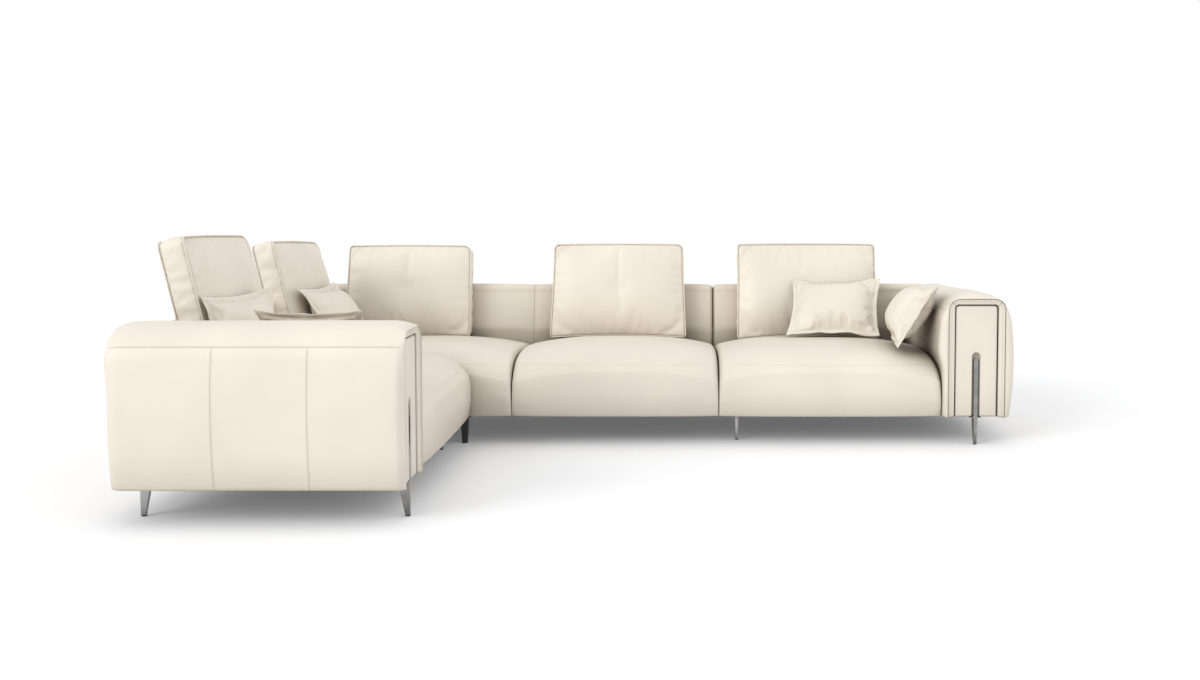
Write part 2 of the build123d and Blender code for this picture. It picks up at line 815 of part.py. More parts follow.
def build_corner_module():
    half = rail_thickness / 2
    low = (corner_left, corner_front)
    high = (corner_right, corner_rear)
    corner_middle = (corner_left + seam_x) / 2
    middle_middle = (seam_x + corner_right) / 2
    rails = (corner_left + half, corner_middle, seam_x, middle_middle, corner_right - half)
    rear_board_plane = Plane(
        (left_x + rear_padding, rear_y - rear_padding, 0),
        x_dir=(1, 0, 0),
        z_dir=(0, -1, 0),
    )
    rear_board_length = corner_right - left_x - rear_padding
    side_board_plane = Plane(
        (left_x + rear_padding, corner_front, 0),
        x_dir=(0, 1, 0),
        z_dir=(1, 0, 0),
    )
    side_board_length = corner_rear - corner_front

    tongue_spots = [
        (corner_right - half, rear_y - station) for station in (coupler_near, coupler_far)
    ]
    near_spots = [(left_x + station, corner_front + half) for station in (coupler_near, coupler_far)]
    tongue_screws = paired_deep(tongue_spots, coupler_screw_spacing)
    tongue_screws += paired(near_spots, coupler_screw_spacing)
    spots = paired(stub_spots, stub_screw_spacing) + tongue_screws

    bays = bays_between(rails)
    rear_bolts = [(start + end) / 2 - left_x - rear_padding for start, end in bays[1:]]
    side_bolts = [side_board_length * share for share in side_bolt_shares]
    frame = base_frame(low, high, bays, stub_spots)
    with BuildPart() as bored_frame:
        add(frame)
        add(bolt_bores(rear_board_plane, rear_bolts), mode=Mode.SUBTRACT)
        add(bolt_bores(side_board_plane, side_bolts), mode=Mode.SUBTRACT)
    write(bored_frame.part, "corner_base_frame")
    cover_low = (left_x + rear_padding, corner_front)
    cover_high = (corner_right, rear_y - rear_padding)
    write(dust_cover(cover_low, cover_high), "corner_dust_cover")
    straps = seat_straps(corner_left + rail_thickness, seam_x, corner_front, corner_rear)
    write(straps, "corner_seat_straps")
    straps = seat_straps(seam_x, corner_right - rail_thickness, corner_front, corner_rear)
    write(straps, "middle_seat_straps")
    write(back_board(rear_board_plane, rear_board_length, rear_bolts), "rear_back_board")
    write(back_board(side_board_plane, side_board_length, side_bolts), "side_back_board")
    with BuildPart() as bolts:
        add(frame_bolts(rear_board_plane, rear_bolts))
        add(frame_bolts(side_board_plane, side_bolts))
    write(bolts.part, "corner_frame_bolts")
    write(base_screws(spots), "corner_base_screws")

    pocket_low = (left_x + rear_padding - soft_gap, corner_front - soft_gap, 0)
    pocket_high = (
        corner_right + soft_gap,
        rear_y - rear_padding + soft_gap,
        deck_height + soft_gap,
    )
    seat_rear = rear_y - back_seat_thickness - seam_gap
    seat_front = joint_y + corner_front_gap
    ends = (
        ("corner_seat_cushion", left_x + back_seat_thickness + seam_gap, seam_x - seam_gap / 2),
        ("middle_seat_cushion", seam_x + seam_gap / 2, joint_x - seam_gap / 2),
    )
    for name, start, end in ends:
        with BuildPart() as seat:
            add(seat_form(start, end, seat_rear, seat_front))
            add_block(pocket_low, pocket_high, Mode.SUBTRACT)
        write(seat.part, name)

    mitre = Plane((left_x, rear_y, 0), x_dir=(0, 0, 1), z_dir=(1, 1, 0))
    with BuildPart() as rear_pad:
        add(back_pad(
            Plane((left_x, rear_y, 0), x_dir=(0, 1, 0), z_dir=(1, 0, 0)),
            joint_x - seam_gap / 2 - left_x,
        ))
        split(bisect_by=mitre.offset(seam_gap / 2), keep=Keep.TOP)
        add_block(pocket_low, pocket_high, Mode.SUBTRACT)
        add_block(
            (left_x + rear_padding - soft_gap, corner_rear - soft_gap, underside_height),
            (corner_right + soft_gap, rear_y - rear_padding + soft_gap, board_top + soft_gap),
            Mode.SUBTRACT,
        )
    write(rear_pad.part, "rear_back_pad")
    with BuildPart() as side_pad:
        add(back_pad(
            Plane((left_x, joint_y + seam_gap / 2, 0), x_dir=(-1, 0, 0), z_dir=(0, 1, 0)),
            module_depth - seam_gap / 2,
        ))
        split(bisect_by=mitre.offset(-seam_gap / 2), keep=Keep.BOTTOM)
        add_block(pocket_low, pocket_high, Mode.SUBTRACT)
        add_block(
            (left_x + rear_padding - soft_gap, corner_front - soft_gap, underside_height),
            (corner_left + soft_gap, rear_y - rear_padding + soft_gap, board_top + soft_gap),
            Mode.SUBTRACT,
        )
    write(side_pad.part, "side_back_pad")

    with BuildPart() as stubs:
        for spot in stub_spots:
            add(corner_leg(spot))
    write(stubs.part, "corner_legs")

    tops = ((tongue_reach, keeper_slack), (0, 0))
    with BuildPart() as tongues:
        for reach, slack in tops:
            with BuildSketch(Plane.XY.offset(plate_bottom)):
                for station in (coupler_near, coupler_far):
                    add_panel(
                        (joint_x - tongue_grip, rear_y - station - coupler_width / 2),
                        (joint_x + reach, rear_y - station + coupler_width / 2),
                    )
                    add_panel(
                        (left_x + station - coupler_width / 2, joint_y - reach),
                        (left_x + station + coupler_width / 2, joint_y + tongue_grip),
                    )
            extrude(amount=leg_plate_thickness - slack)
        with Locations(*[(x, y, underside_height) for x, y in tongue_screws]):
            Hole(screw_radius + screw_clearance)
    write(tongues.part, "coupler_tongues")


# Loose back cushions and throw pillows


def build_cushions():
    lean_gap = soft_gap / cos(radians(recline))

    def standoff(base):
        """How far in front of the rear face a cushion's rear edge stands, at its base height."""
        return back_seat_thickness + (lean_start_height - base) * lean + lean_gap

    base = seat_rear_height + 3 * soft_gap
    sunk = base - return_cushion_sink
    behind = rear_y - standoff(base)
    left_middle = joint_y - seat_end / 2 - left_cushion_shift
    return_middle = joint_y + return_cushion_start + return_cushion_width / 2
    corner_middle = left_x + corner_cushion_start + corner_cushion_width / 2
    middle_middle = (seam_x + joint_x) / 2 + middle_cushion_shift
    right_middle = joint_x + seat_end / 2 + right_cushion_shift
    cushions = (
        ("left_back_cushion", (left_x + standoff(base), left_middle, base), 0,
         left_cushion_width, left_cushion_height),
        ("return_back_cushion", (left_x + standoff(sunk), return_middle, sunk), 0,
         return_cushion_width, return_cushion_height),
        ("corner_back_cushion", (corner_middle, behind, base), -90,
         corner_cushion_width, corner_cushion_height),
        ("middle_back_cushion", (middle_middle, behind, base), -90,
         middle_cushion_width, middle_cushion_height),
        ("right_back_cushion", (right_middle, behind, base), -90,
         right_cushion_width, right_cushion_height),
    )
    for name, origin, facing, width, height in cushions:
        frame = leaning_frame(origin, facing, recline)
        write(back_cushion(frame, width, height), name)


def build_pillows():
    left_arm_face = joint_y - seat_end
    right_arm_face = joint_x + seat_end
    left_rear = (
        left_x + left_rear_pillow_from_rear,
        left_arm_face + left_rear_pillow_from_arm,
        seat_crown_height - left_rear_pillow_sink,
    )
    left_arm = (
        left_x + left_arm_pillow_from_rear,
        left_arm_face + left_arm_pillow_from_arm,
        seat_crown_height - left_arm_pillow_sink,
    )
    returning = (
        left_x + return_pillow_from_rear,
        joint_y + return_pillow_from_joint,
        seat_crown_height + return_pillow_lift,
    )
    right_rear = (
        joint_x + right_rear_pillow_from_joint,
        rear_y - right_rear_pillow_from_rear,
        seat_crown_height + right_rear_pillow_lift,
    )
    right_arm = (
        right_arm_face - right_arm_pillow_from_arm,
        joint_y + right_arm_pillow_from_front,
        seat_crown_height - right_arm_pillow_sink,
    )
    frames = (
        leaning_frame(left_rear, left_rear_pillow_facing, left_rear_pillow_tilt),
        leaning_frame(left_arm, 90, left_arm_pillow_tilt),
        leaning_frame(returning, return_pillow_facing, return_pillow_tilt),
        leaning_frame(right_rear, right_rear_pillow_facing, right_rear_pillow_tilt),
        leaning_frame(right_arm, right_arm_pillow_facing, right_arm_pillow_tilt),
    )
    sizes = (
        (left_rear_pillow_width, left_rear_pillow_height, left_rear_pillow_swell),
        (left_arm_pillow_width, left_arm_pillow_height, left_arm_pillow_swell),
        (return_pillow_width, return_pillow_height, return_pillow_swell),
        (right_rear_pillow_width, right_rear_pillow_height, right_rear_pillow_swell),
        (right_arm_pillow_width, right_arm_pillow_height, right_arm_pillow_swell),
    )
    names = (
        "left_rear_pillow",
        "left_arm_pillow",
        "return_pillow",
        "right_rear_pillow",
        "right_arm_pillow",
    )
    for name, frame, size in zip(names, frames, sizes):
        write(throw_pillow(frame, *size), name)


build_end_modules()
build_corner_module()
build_cushions()
build_pillows()
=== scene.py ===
import math

import bmesh
import bpy
import numpy as np
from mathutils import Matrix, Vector, noise
from mathutils.bvhtree import BVHTree


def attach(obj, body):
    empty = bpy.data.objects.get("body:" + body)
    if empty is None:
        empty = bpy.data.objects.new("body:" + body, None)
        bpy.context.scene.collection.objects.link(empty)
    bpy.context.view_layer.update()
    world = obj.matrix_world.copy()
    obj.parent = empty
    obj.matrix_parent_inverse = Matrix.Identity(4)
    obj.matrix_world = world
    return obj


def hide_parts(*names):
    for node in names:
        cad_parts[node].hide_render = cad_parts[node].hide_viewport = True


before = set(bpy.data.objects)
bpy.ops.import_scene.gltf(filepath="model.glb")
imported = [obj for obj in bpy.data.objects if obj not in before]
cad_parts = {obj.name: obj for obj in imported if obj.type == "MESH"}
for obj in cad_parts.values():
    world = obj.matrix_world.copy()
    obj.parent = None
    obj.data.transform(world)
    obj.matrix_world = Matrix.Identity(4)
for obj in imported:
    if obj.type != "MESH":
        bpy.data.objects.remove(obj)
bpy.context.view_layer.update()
scene = bpy.context.scene

# Places in the shared frame, in metres
LEFT_X, REAR_Y = -1.710, 1.160
JOINT_X, JOINT_Y = 0.390, 0.160
SEAM_X = -0.542
DEPTH = 1.000
SEAT_END, END_PLAY = 0.980, 0.0025
ARM_MIDDLE = 1.150
UNDERSIDE, HOLLOW = 0.125, 0.129
END_HEM = 0.010
BACK_THICK = 0.1281

# Coarse and fine spacing of the leather meshes, and how far the fine one reaches round a seam
STEP, FINE, REACH = 0.012, 0.0011, 0.0055

QUARTER, HALF_TURN, TURN = math.pi / 2, math.pi, 2 * math.pi
TINY = 1e-9
MIRROR = np.array((-1, 1))


# Small geometry helpers


def stack(*columns):
    """Points from columns of coordinates; a single number holds for every point."""
    return np.column_stack(np.broadcast_arrays(*columns))


def on_circle(centre, radius, start, turn, count):
    """Points on a circle from a start angle through a turn."""
    at = start + turn * np.linspace(0, 1, count)
    return stack(centre[0] + radius * np.cos(at), centre[1] + radius * np.sin(at))


def arc3(a, b, c, count):
    """Points on the circle through a, b and c, from a to c."""
    (ax, ay), (bx, by), (cx, cy) = a, b, c
    d = 2 * (ax * (by - cy) + bx * (cy - ay) + cx * (ay - by))
    a2, b2, c2 = ax * ax + ay * ay, bx * bx + by * by, cx * cx + cy * cy
    ox = (a2 * (by - cy) + b2 * (cy - ay) + c2 * (ay - by)) / d
    oy = (a2 * (cx - bx) + b2 * (ax - cx) + c2 * (bx - ax)) / d
    start, mid, end = (math.atan2(y - oy, x - ox) for x, y in (a, b, c))
    turn = (end - start) % TURN
    if (mid - start) % TURN > turn:
        turn -= TURN
    return on_circle((ox, oy), math.hypot(ax - ox, ay - oy), start, turn, count)


def arc_from(p, tangent, q, count):
    """Points on the arc that leaves p along a tangent and ends at q."""
    p, q, t = (np.asarray(x, float) for x in (p, q, tangent))
    t = t / np.linalg.norm(t)
    n = np.array((-t[1], t[0]))
    chord = q - p
    radius = chord @ chord / (2 * (chord @ n))
    centre = p + n * radius
    start = math.atan2(*(p - centre)[::-1])
    return on_circle(centre, abs(radius), start, 2 * math.atan2(chord @ n, chord @ t), count)


def eased(count):
    """Shares from 0 to 1, closer together at the start."""
    return 1 - np.cos(np.linspace(0, QUARTER, count))


def spaced(length, step, marks=()):
    """Positions from 0 to a length, closer together round each mark."""
    at = np.linspace(0, length, max(2, math.ceil(length / step) + 1))
    for mark in marks:
        at = at[np.abs(at - mark) > REACH + step / 3]
        at = np.concatenate((at, mark + np.arange(-REACH, REACH + FINE / 2, FINE)))
    return np.sort(at[(at >= 0) & (at <= length)])


def steps_of(points):
    return np.linalg.norm(np.diff(np.asarray(points, float), axis=0), axis=1)


def run_of(points):
    """The distance along a polyline at each of its points."""
    return np.concatenate(([0], np.cumsum(steps_of(points))))


def along_line(points, at):
    """Points at distances along a polyline."""
    points = np.asarray(points, float)
    run = run_of(points)
    return np.column_stack([np.interp(at, run, column) for column in points.T])


def unit(vectors):
    """Each row at length 1."""
    return vectors / np.maximum(np.linalg.norm(vectors, axis=1), TINY)[:, None]


def across_part(vectors, ways):
    """What is left of each row without its part along a unit vector."""
    return vectors - ways * np.sum(vectors * ways, axis=1)[:, None]


def inward(loop):
    """Unit vectors into a closed loop of points in a plane."""
    ahead = unit(np.roll(loop, -1, 0) - np.roll(loop, 1, 0))
    area = np.sum(loop[:, 0] * np.roll(loop[:, 1], -1) - np.roll(loop[:, 0], -1) * loop[:, 1])
    return stack(-ahead[:, 1], ahead[:, 0]) * np.sign(area)


def roll(distance, along, depth=None):
    """How far a rounded edge falls back at a distance from its end."""
    depth = along if depth is None else depth
    share = np.clip(1 - np.asarray(distance, float) / along, 0, 1)
    return depth * (1 - np.sqrt(np.maximum(1 - share * share, 0)))


def roll_stations(length, low_radius, high_radius, step, marks=()):
    """Positions along a form whose two ends are rounded over."""
    curve, clear = eased(10), 1.05
    body = spaced(length, step, marks)
    body = body[(body > low_radius * clear) & (body < length - high_radius * clear)]
    return np.concatenate((low_radius * curve, body, (length - high_radius * curve)[::-1]))


def smooth(x):
    """0 below 0 and 1 above 1, with a soft rise between them."""
    x = np.clip(x, 0, 1)
    return x * x * (3 - 2 * x)


def bell(distance, width):
    """1 at no distance, falling off within a width."""
    return np.exp(-((distance / width) ** 2))


def nearest(values, marks):
    """How far each value is from the nearest mark."""
    return np.min([np.abs(values - mark) for mark in marks], axis=0)


def rounding(a, b):
    """Where two offsets past a corner's centre are both outward, and what makes that corner round."""
    near = (a > 0) & (b > 0)
    return near, np.where(near, np.maximum(a, b) / np.maximum(np.hypot(a, b), TINY), 1)


def ripple(points, scale, seed=0.0):
    """Smooth noise from -1 to 1 at each point."""
    shift = Vector((seed, seed * 1.7, -seed))
    return np.array([noise.noise(Vector(p) * scale + shift) for p in points])


# Meshes


def add(name, data):
    """A new object in the scene."""
    thing = bpy.data.objects.new(name, data)
    scene.collection.objects.link(thing)
    return thing


def mesh_object(name, points, faces):
    mesh = bpy.data.meshes.new(name)
    mesh.from_pydata(np.asarray(points).tolist(), [], faces)
    piece = add(name, mesh)
    edit = bmesh.new()
    edit.from_mesh(mesh)
    bmesh.ops.recalc_face_normals(edit, faces=edit.faces)
    edit.to_mesh(mesh)
    edit.free()
    mesh.shade_smooth()
    return piece


def points_of(piece, what="co"):
    """The places of a mesh's points, or their normals."""
    flat = np.empty(len(piece.data.vertices) * 3)
    piece.data.vertices.foreach_get(what, flat)
    return flat.reshape(-1, 3)


def set_points(piece, points):
    piece.data.vertices.foreach_set("co", np.asarray(points, np.float32).ravel())
    piece.data.update()


def push(piece, amount):
    """Moves each point along its normal."""
    set_points(piece, points_of(piece) + points_of(piece, "normal") * np.asarray(amount)[:, None])


def paint_seams_and_shade(piece, amount):
    """Keeps how deep in a seam each point lies, or how much shade is painted there, for the leather's
    darkening.
    """
    layer = piece.data.attributes.new("seam", "FLOAT", "POINT")
    layer.data.foreach_set("value", np.clip(amount, 0, 1).astype(np.float32))


def subdivide(piece):
    more = piece.modifiers.new("smooth", "SUBSURF")
    more.levels = more.render_levels = 1


def bridge(a, b):
    """Quads between two closed rings of point numbers."""
    return list(map(tuple, stack(a, np.roll(a, -1), np.roll(b, -1), b).tolist()))


def bridges(rings):
    """Quads between each ring of point numbers and the next."""
    return [face for a, b in zip(rings, rings[1:]) for face in bridge(a, b)]


def sheet_faces(ids):
    """Quads of a grid of point numbers."""
    corners = (ids[:-1, :-1], ids[:-1, 1:], ids[1:, 1:], ids[1:, :-1])
    return list(zip(*(corner.ravel().tolist() for corner in corners)))


def two_sheets(rows, columns):
    """The point numbers of a front and a rear grid, and the faces of both."""
    front = np.arange(rows * columns).reshape(rows, columns)
    rear = front + front.size
    return front, rear, sheet_faces(front) + [face[::-1] for face in sheet_faces(rear)]


def rim_of(ids):
    """The point numbers round the edge of a grid."""
    return np.concatenate((ids[0], ids[1:, -1], ids[-1, -2::-1], ids[-2:0:-1, 0]))


CAP_SHARES = (0.08, 0.25, 0.5, 0.75)
CAP_RINGS = len(CAP_SHARES)


def tube(name, rings, place):
    """A closed form through rings of local points, with its ends filled in; also its local points."""
    rings = np.asarray(rings, float)
    caps = []
    for ring in (rings[0], rings[-1]):
        middle = ring.mean(0)
        caps.append([middle + (ring - middle) * (1 - share) for share in CAP_SHARES])
    layers = np.concatenate((caps[0][::-1], rings, caps[1]))
    ids = np.arange(layers.shape[0] * layers.shape[1]).reshape(layers.shape[:2])
    points = np.concatenate((layers.reshape(-1, 3), [layers[0].mean(0), layers[-1].mean(0)]))
    faces = bridges(ids)
    for j, k, above_k, above_j in bridge(ids[0], ids[-1]):
        faces += [(ids.size, k, j), (ids.size + 1, above_j, above_k)]
    return mesh_object(name, place(points), faces), points


def on_tube(skin, rest):
    """One value for each of a tube's points, from those of its skin's points in order."""
    count = len(skin[0])
    cap = np.full(CAP_RINGS * count, rest)
    return np.concatenate((cap, np.ravel(skin), cap, (rest, rest)))


def mapping(origin, *axes):
    """Maps local points to the shared frame, given an origin and the ways of their three axes."""
    origin, basis = np.array(origin, float), np.array(axes, float)
    return lambda p: origin + p @ basis


# From distances (from the joint, from the rear face, up) in an end module; the left end module is
# the right one's mirror image turned by a quarter
RIGHT, BACK, AHEAD, UP = (1, 0, 0), (0, 1, 0), (0, -1, 0), (0, 0, 1)
right_place = mapping((JOINT_X, REAR_Y, 0), RIGHT, AHEAD, UP)
left_place = mapping((LEFT_X, JOINT_Y, 0), AHEAD, RIGHT, UP)
# From (x, distance from the rear face, up) and (y, distance from the left face, up) in the corner
rear_place = mapping((0, REAR_Y, 0), RIGHT, AHEAD, UP)
side_place = mapping((LEFT_X, 0, 0), BACK, RIGHT, UP)
END_MODULES = (("left", left_place), ("right", right_place))


# Materials


class Tree:
    """The nodes of a material or of the world."""

    def __init__(self, owner):
        owner.use_nodes = True
        self.owner = owner
        self.nodes, self.links = owner.node_tree.nodes, owner.node_tree.links

    def feed(self, node, sockets):
        """Sets sockets of a node to plain values, or links them to other nodes."""
        for socket, value in sockets.items():
            if isinstance(value, bpy.types.NodeSocket):
                self.links.new(value, node.inputs[socket])
            else:
                node.inputs[socket].default_value = value

    def node(self, kind, sockets, **settings):
        made = self.nodes.new("ShaderNode" + kind)
        for setting, value in settings.items():
            setattr(made, setting, value)
        self.feed(made, sockets)
        return made

    def white_to_camera(self):
        """1 for rays from the camera, mirrors and glass, and 0 for the light that reaches surfaces."""
        path = self.node("LightPath", {}).outputs
        total = path["Is Camera Ray"]
        for other in ("Is Glossy Ray", "Is Transmission Ray"):
            either = self.node("Math", {0: total, 1: path[other]}, operation="MAXIMUM")
            total = either.outputs["Value"]
        return total


class Finish(Tree):
    """A material, with the nodes that several finishes share."""

    def __init__(self, name):
        super().__init__(bpy.data.materials.new(name))
        self.shader = self.nodes["Principled BSDF"]
        self.at = self.node("TexCoord", {}).outputs["Object"]

    def noise(self, scale, detail=3.0, at=None):
        sockets = {"Scale": scale, "Detail": detail, "Vector": at or self.at}
        return self.node("TexNoise", sockets).outputs["Fac"]

    def ramp(self, value, *stops):
        node = self.node("ValToRGB", {"Fac": value})
        elements = node.color_ramp.elements
        while len(elements) < len(stops):
            elements.new(0.5)
        for element, (at, colour) in zip(elements, stops):
            element.position = at
            element.color = (*colour, 1)
        return node.outputs["Color"]

    def bump(self, height, distance, strength, **under):
        sockets = {"Strength": strength, "Distance": distance, "Height": height, **under}
        normal = self.node("Bump", sockets).outputs["Normal"]
        self.feed(self.shader, {"Normal": normal})
        return normal

    def painted_shade(self, colour, reach, tone):
        """Painted shade: a colour darkened by ambient occlusion where other surfaces close in."""
        occlusion = self.node("AmbientOcclusion", {"Distance": reach}, samples=6)
        half_open = tuple((1 + c) / 2 for c in tone)
        closed = tuple(c * c * 0.75 for c in tone)
        shade = self.ramp(occlusion.outputs["AO"], (0.0, closed), (0.5, half_open), (1.0, grey(1.0)))
        sockets = {"Factor": 1.0, "A": colour, "B": shade}
        return self.node("Mix", sockets, data_type="RGBA", blend_type="MULTIPLY").outputs["Result"]

    def done(self, colour, roughness, **others):
        """Feeds the shader and gives the material."""
        self.feed(self.shader, {"Base Color": colour, "Roughness": roughness, **others})
        return self.owner


def grey(level):
    return (level, level, level)


# How far the painted shade in hollows looks for nearby surfaces, on the leather and on the legs
PAINTED_SHADE_REACH, LEG_PAINTED_SHADE_REACH = 0.26, 0.10
# The darkest tone of seams and of the painted shade that the seam attribute carries, as shares of the
# leather's tone
SEAM_AND_SHADE_TONE = (0.45, 0.40, 0.33)


def leather(name, tone, painted_shade):
    """Smooth ivory leather: a fine pebbled grain, soft blotches, darker seams and painted shade from the
    seam attribute, and painted shade in folds and hollows.
    """
    hide = Finish(name)
    low = tuple(c * 0.955 for c in tone)
    high = tuple(min(1, c * 1.03) for c in tone)
    colour = hide.ramp(hide.noise(scale=3.2, detail=4), (0.3, low), (0.7, high))
    # The seam attribute darkens seams and also carries painted shade in the arm's channel and at the
    # joints between modules
    seam = hide.node("Attribute", {}, attribute_name="seam").outputs["Fac"]
    dark = (*(c * share for c, share in zip(tone, SEAM_AND_SHADE_TONE)), 1)
    mix = hide.node("Mix", {"Factor": seam, "A": colour, "B": dark}, data_type="RGBA")
    # Painted shade: the colour darkens in folds and hollows where other surfaces close in
    shown = hide.painted_shade(mix.outputs["Result"], PAINTED_SHADE_REACH, painted_shade)
    patch = hide.noise(scale=38, detail=3)
    cells = hide.node("TexVoronoi", {"Scale": 620, "Vector": hide.at}, feature="SMOOTH_F1")
    grain = hide.bump(cells.outputs["Distance"], distance=0.00025, strength=0.35)
    crinkle = hide.noise(scale=90, detail=5)
    hide.bump(crinkle, distance=0.0006, strength=0.35, Normal=grain)
    rough = hide.ramp(patch, (0.3, grey(0.40)), (0.7, grey(0.54)))
    return hide.done(shown, rough, **{"Specular IOR Level": 0.42})


def thread():
    """Tone-on-tone sewing thread with a twist."""
    yarn = Finish("thread")
    twist = yarn.node("TexWave", {"Scale": 700, "Vector": yarn.at}).outputs["Fac"]
    return yarn.done(yarn.ramp(twist, (0, (0.58, 0.53, 0.45)), (1, (0.72, 0.67, 0.58))), 0.6)


def chrome(name, dark, light):
    """Polished chrome with faint handling marks and painted shade where other surfaces close in."""
    metal = Finish(name)
    marks = metal.noise(scale=24, detail=4)
    film = metal.ramp(marks, (0.3, dark), (0.7, light))
    metal.bump(metal.noise(scale=60, detail=2), distance=0.0002, strength=0.08)
    rough = metal.ramp(marks, (0.35, grey(0.08)), (0.75, grey(0.19)))
    # Painted shade: the chrome darkens where other surfaces close in
    return metal.done(metal.painted_shade(film, LEG_PAINTED_SHADE_REACH, grey(0.20)), rough, Metallic=1)


def moulded(name, dark, light):
    """Matt moulded plastic with a fine spark-eroded texture."""
    plastic = Finish(name)
    speck = plastic.noise(scale=900, detail=2)
    plastic.bump(speck, distance=0.0001, strength=0.5)
    rough = plastic.ramp(plastic.noise(scale=40), (0.3, grey(0.42)), (0.7, grey(0.58)))
    return plastic.done(plastic.ramp(speck, (0.3, dark), (0.7, light)), rough)


def timber():
    """Pale plywood and pine with a stretched grain."""
    wood = Finish("timber")
    stretch = wood.node("Mapping", {"Scale": (2.0, 26.0, 26.0), "Vector": wood.at})
    rings = wood.noise(scale=3.0, detail=6, at=stretch.outputs["Vector"])
    wood.bump(rings, distance=0.0006, strength=0.4)
    return wood.done(wood.ramp(rings, (0.35, (0.45, 0.30, 0.16)), (0.65, (0.66, 0.49, 0.30))), 0.62)


def woven(name, dark, light, scale):
    """Plain-woven tape or sheet: two crossed sets of threads."""
    cloth = Finish(name)
    sockets = {"Scale": scale, "Distortion": 0.6, "Vector": cloth.at}
    warp, weft = (cloth.node("TexWave", sockets, bands_direction=way).outputs["Fac"] for way in "XY")
    weave = cloth.node("Math", {0: warp, 1: weft}, operation="MULTIPLY").outputs["Value"]
    cloth.bump(weave, distance=0.0006, strength=0.6)
    return cloth.done(cloth.ramp(weave, (0, dark), (0.8, light)), 0.85)


def zinc():
    """Bright zinc-plated steel with a blotchy passivated film."""
    metal = Finish("zinc")
    film = metal.noise(scale=70, detail=4)
    colour = metal.ramp(film, (0.3, (0.46, 0.47, 0.49)), (0.7, (0.62, 0.62, 0.60)))
    return metal.done(colour, metal.ramp(film, (0.3, grey(0.28)), (0.7, grey(0.46))), Metallic=1)


IVORY = (0.815, 0.755, 0.665)
# Two copies of one leather that differ only in how deep the painted shade in their hollows goes: deep on
# the frame's covers, light on the cushions, pillows and piping
HIDE = leather("ivory_leather", IVORY, (0.44, 0.40, 0.35))
LESS_SHADED_HIDE = leather("soft_ivory_leather", IVORY, (0.81, 0.785, 0.75))
THREAD = thread()
CHROME = chrome("chrome", (0.43, 0.43, 0.43), (0.53, 0.528, 0.525))
# Painted shade: the blade's chrome is a darker copy of the legs' chrome, for the blade that stands in
# the arm's channel
SHADED_BLADE_CHROME = chrome("blade_chrome", (0.25, 0.246, 0.24), (0.35, 0.345, 0.335))
BLACK = moulded("black_plastic", (0.012, 0.012, 0.013), (0.03, 0.03, 0.032))
TIMBER = timber()
WEBBING = woven("webbing", (0.05, 0.05, 0.055), (0.20, 0.20, 0.21), 260)
CLOTH = woven("dust_cloth", (0.015, 0.015, 0.017), (0.05, 0.05, 0.054), 420)
ZINC = zinc()

node_finish = (
    ("blade_leg", SHADED_BLADE_CHROME), ("fin_legs", CHROME), ("glides", BLACK), ("corner_legs", BLACK),
    ("base_frame", TIMBER), ("arm_frame", TIMBER), ("back_board", TIMBER),
    ("seat_straps", WEBBING), ("dust_cover", CLOTH), ("frame_bolts", ZINC),
    ("base_screws", ZINC), ("coupler_keepers", ZINC), ("coupler_tongues", ZINC),
)
for node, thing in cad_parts.items():
    for ending, material in node_finish:
        if node.endswith(ending):
            thing.data.materials.clear()
            thing.data.materials.append(None)
            thing.material_slots[0].link = "OBJECT"
            thing.material_slots[0].material = material


def dress(piece, body, material, *nodes, fill=None):
    """Gives a finished piece its material, its body and what it stands for."""
    piece.data.materials.append(material)
    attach(piece, body)
    if nodes:
        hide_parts(*nodes)


# Stitching


STITCH_PITCH, STITCH_LENGTH, STITCH_RADIUS = 0.0088, 0.0060, 0.0007
STITCH_SIDES = 5
STITCH_BODY = 0.55
STITCH_SINK, STITCH_LIFT, STITCH_HIGH = 0.3, 0.35, 0.9


def stitches(name, piece, body, rows):
    """Short stitches laid along rows of points on a piece, as one mesh."""
    shell = [tuple(face.vertices) for face in piece.data.polygons]
    tree = BVHTree.FromPolygons(points_of(piece).tolist(), shell)
    half = STITCH_LENGTH / 2
    points, faces = [], []
    for row in rows:
        length = float(steps_of(row).sum())
        middles = np.arange(STITCH_PITCH / 2, length - STITCH_PITCH / 2, STITCH_PITCH)
        for tail, head in zip(along_line(row, middles - half), along_line(row, middles + half)):
            spot, up = tree.find_nearest(Vector((tail + head) / 2))[:2]
            run = Vector(head - tail)
            run = (run - up * run.dot(up)).normalized()
            side = up.cross(run)
            first = len(points)
            points.append(spot - run * half - up * STITCH_RADIUS * STITCH_SINK)
            for share in (-STITCH_BODY, STITCH_BODY):
                for k in range(STITCH_SIDES):
                    turn = TURN * k / STITCH_SIDES
                    rim = up * math.sin(turn) * STITCH_HIGH + side * math.cos(turn)
                    spoke = rim * STITCH_RADIUS
                    points.append(spot + run * half * share + spoke + up * STITCH_RADIUS * STITCH_LIFT)
            points.append(spot + run * half - up * STITCH_RADIUS * STITCH_SINK)
            ring = first + 1 + np.arange(STITCH_SIDES)
            for a, b, over_b, over_a in bridge(ring, ring + STITCH_SIDES):
                faces += [(first, b, a), (a, b, over_b, over_a), (over_a, over_b, len(points) - 1)]
    made = mesh_object(name, [tuple(p) for p in points], faces)
    dress(made, body, THREAD)


# The arms' barrel section, as distances from its middle and heights


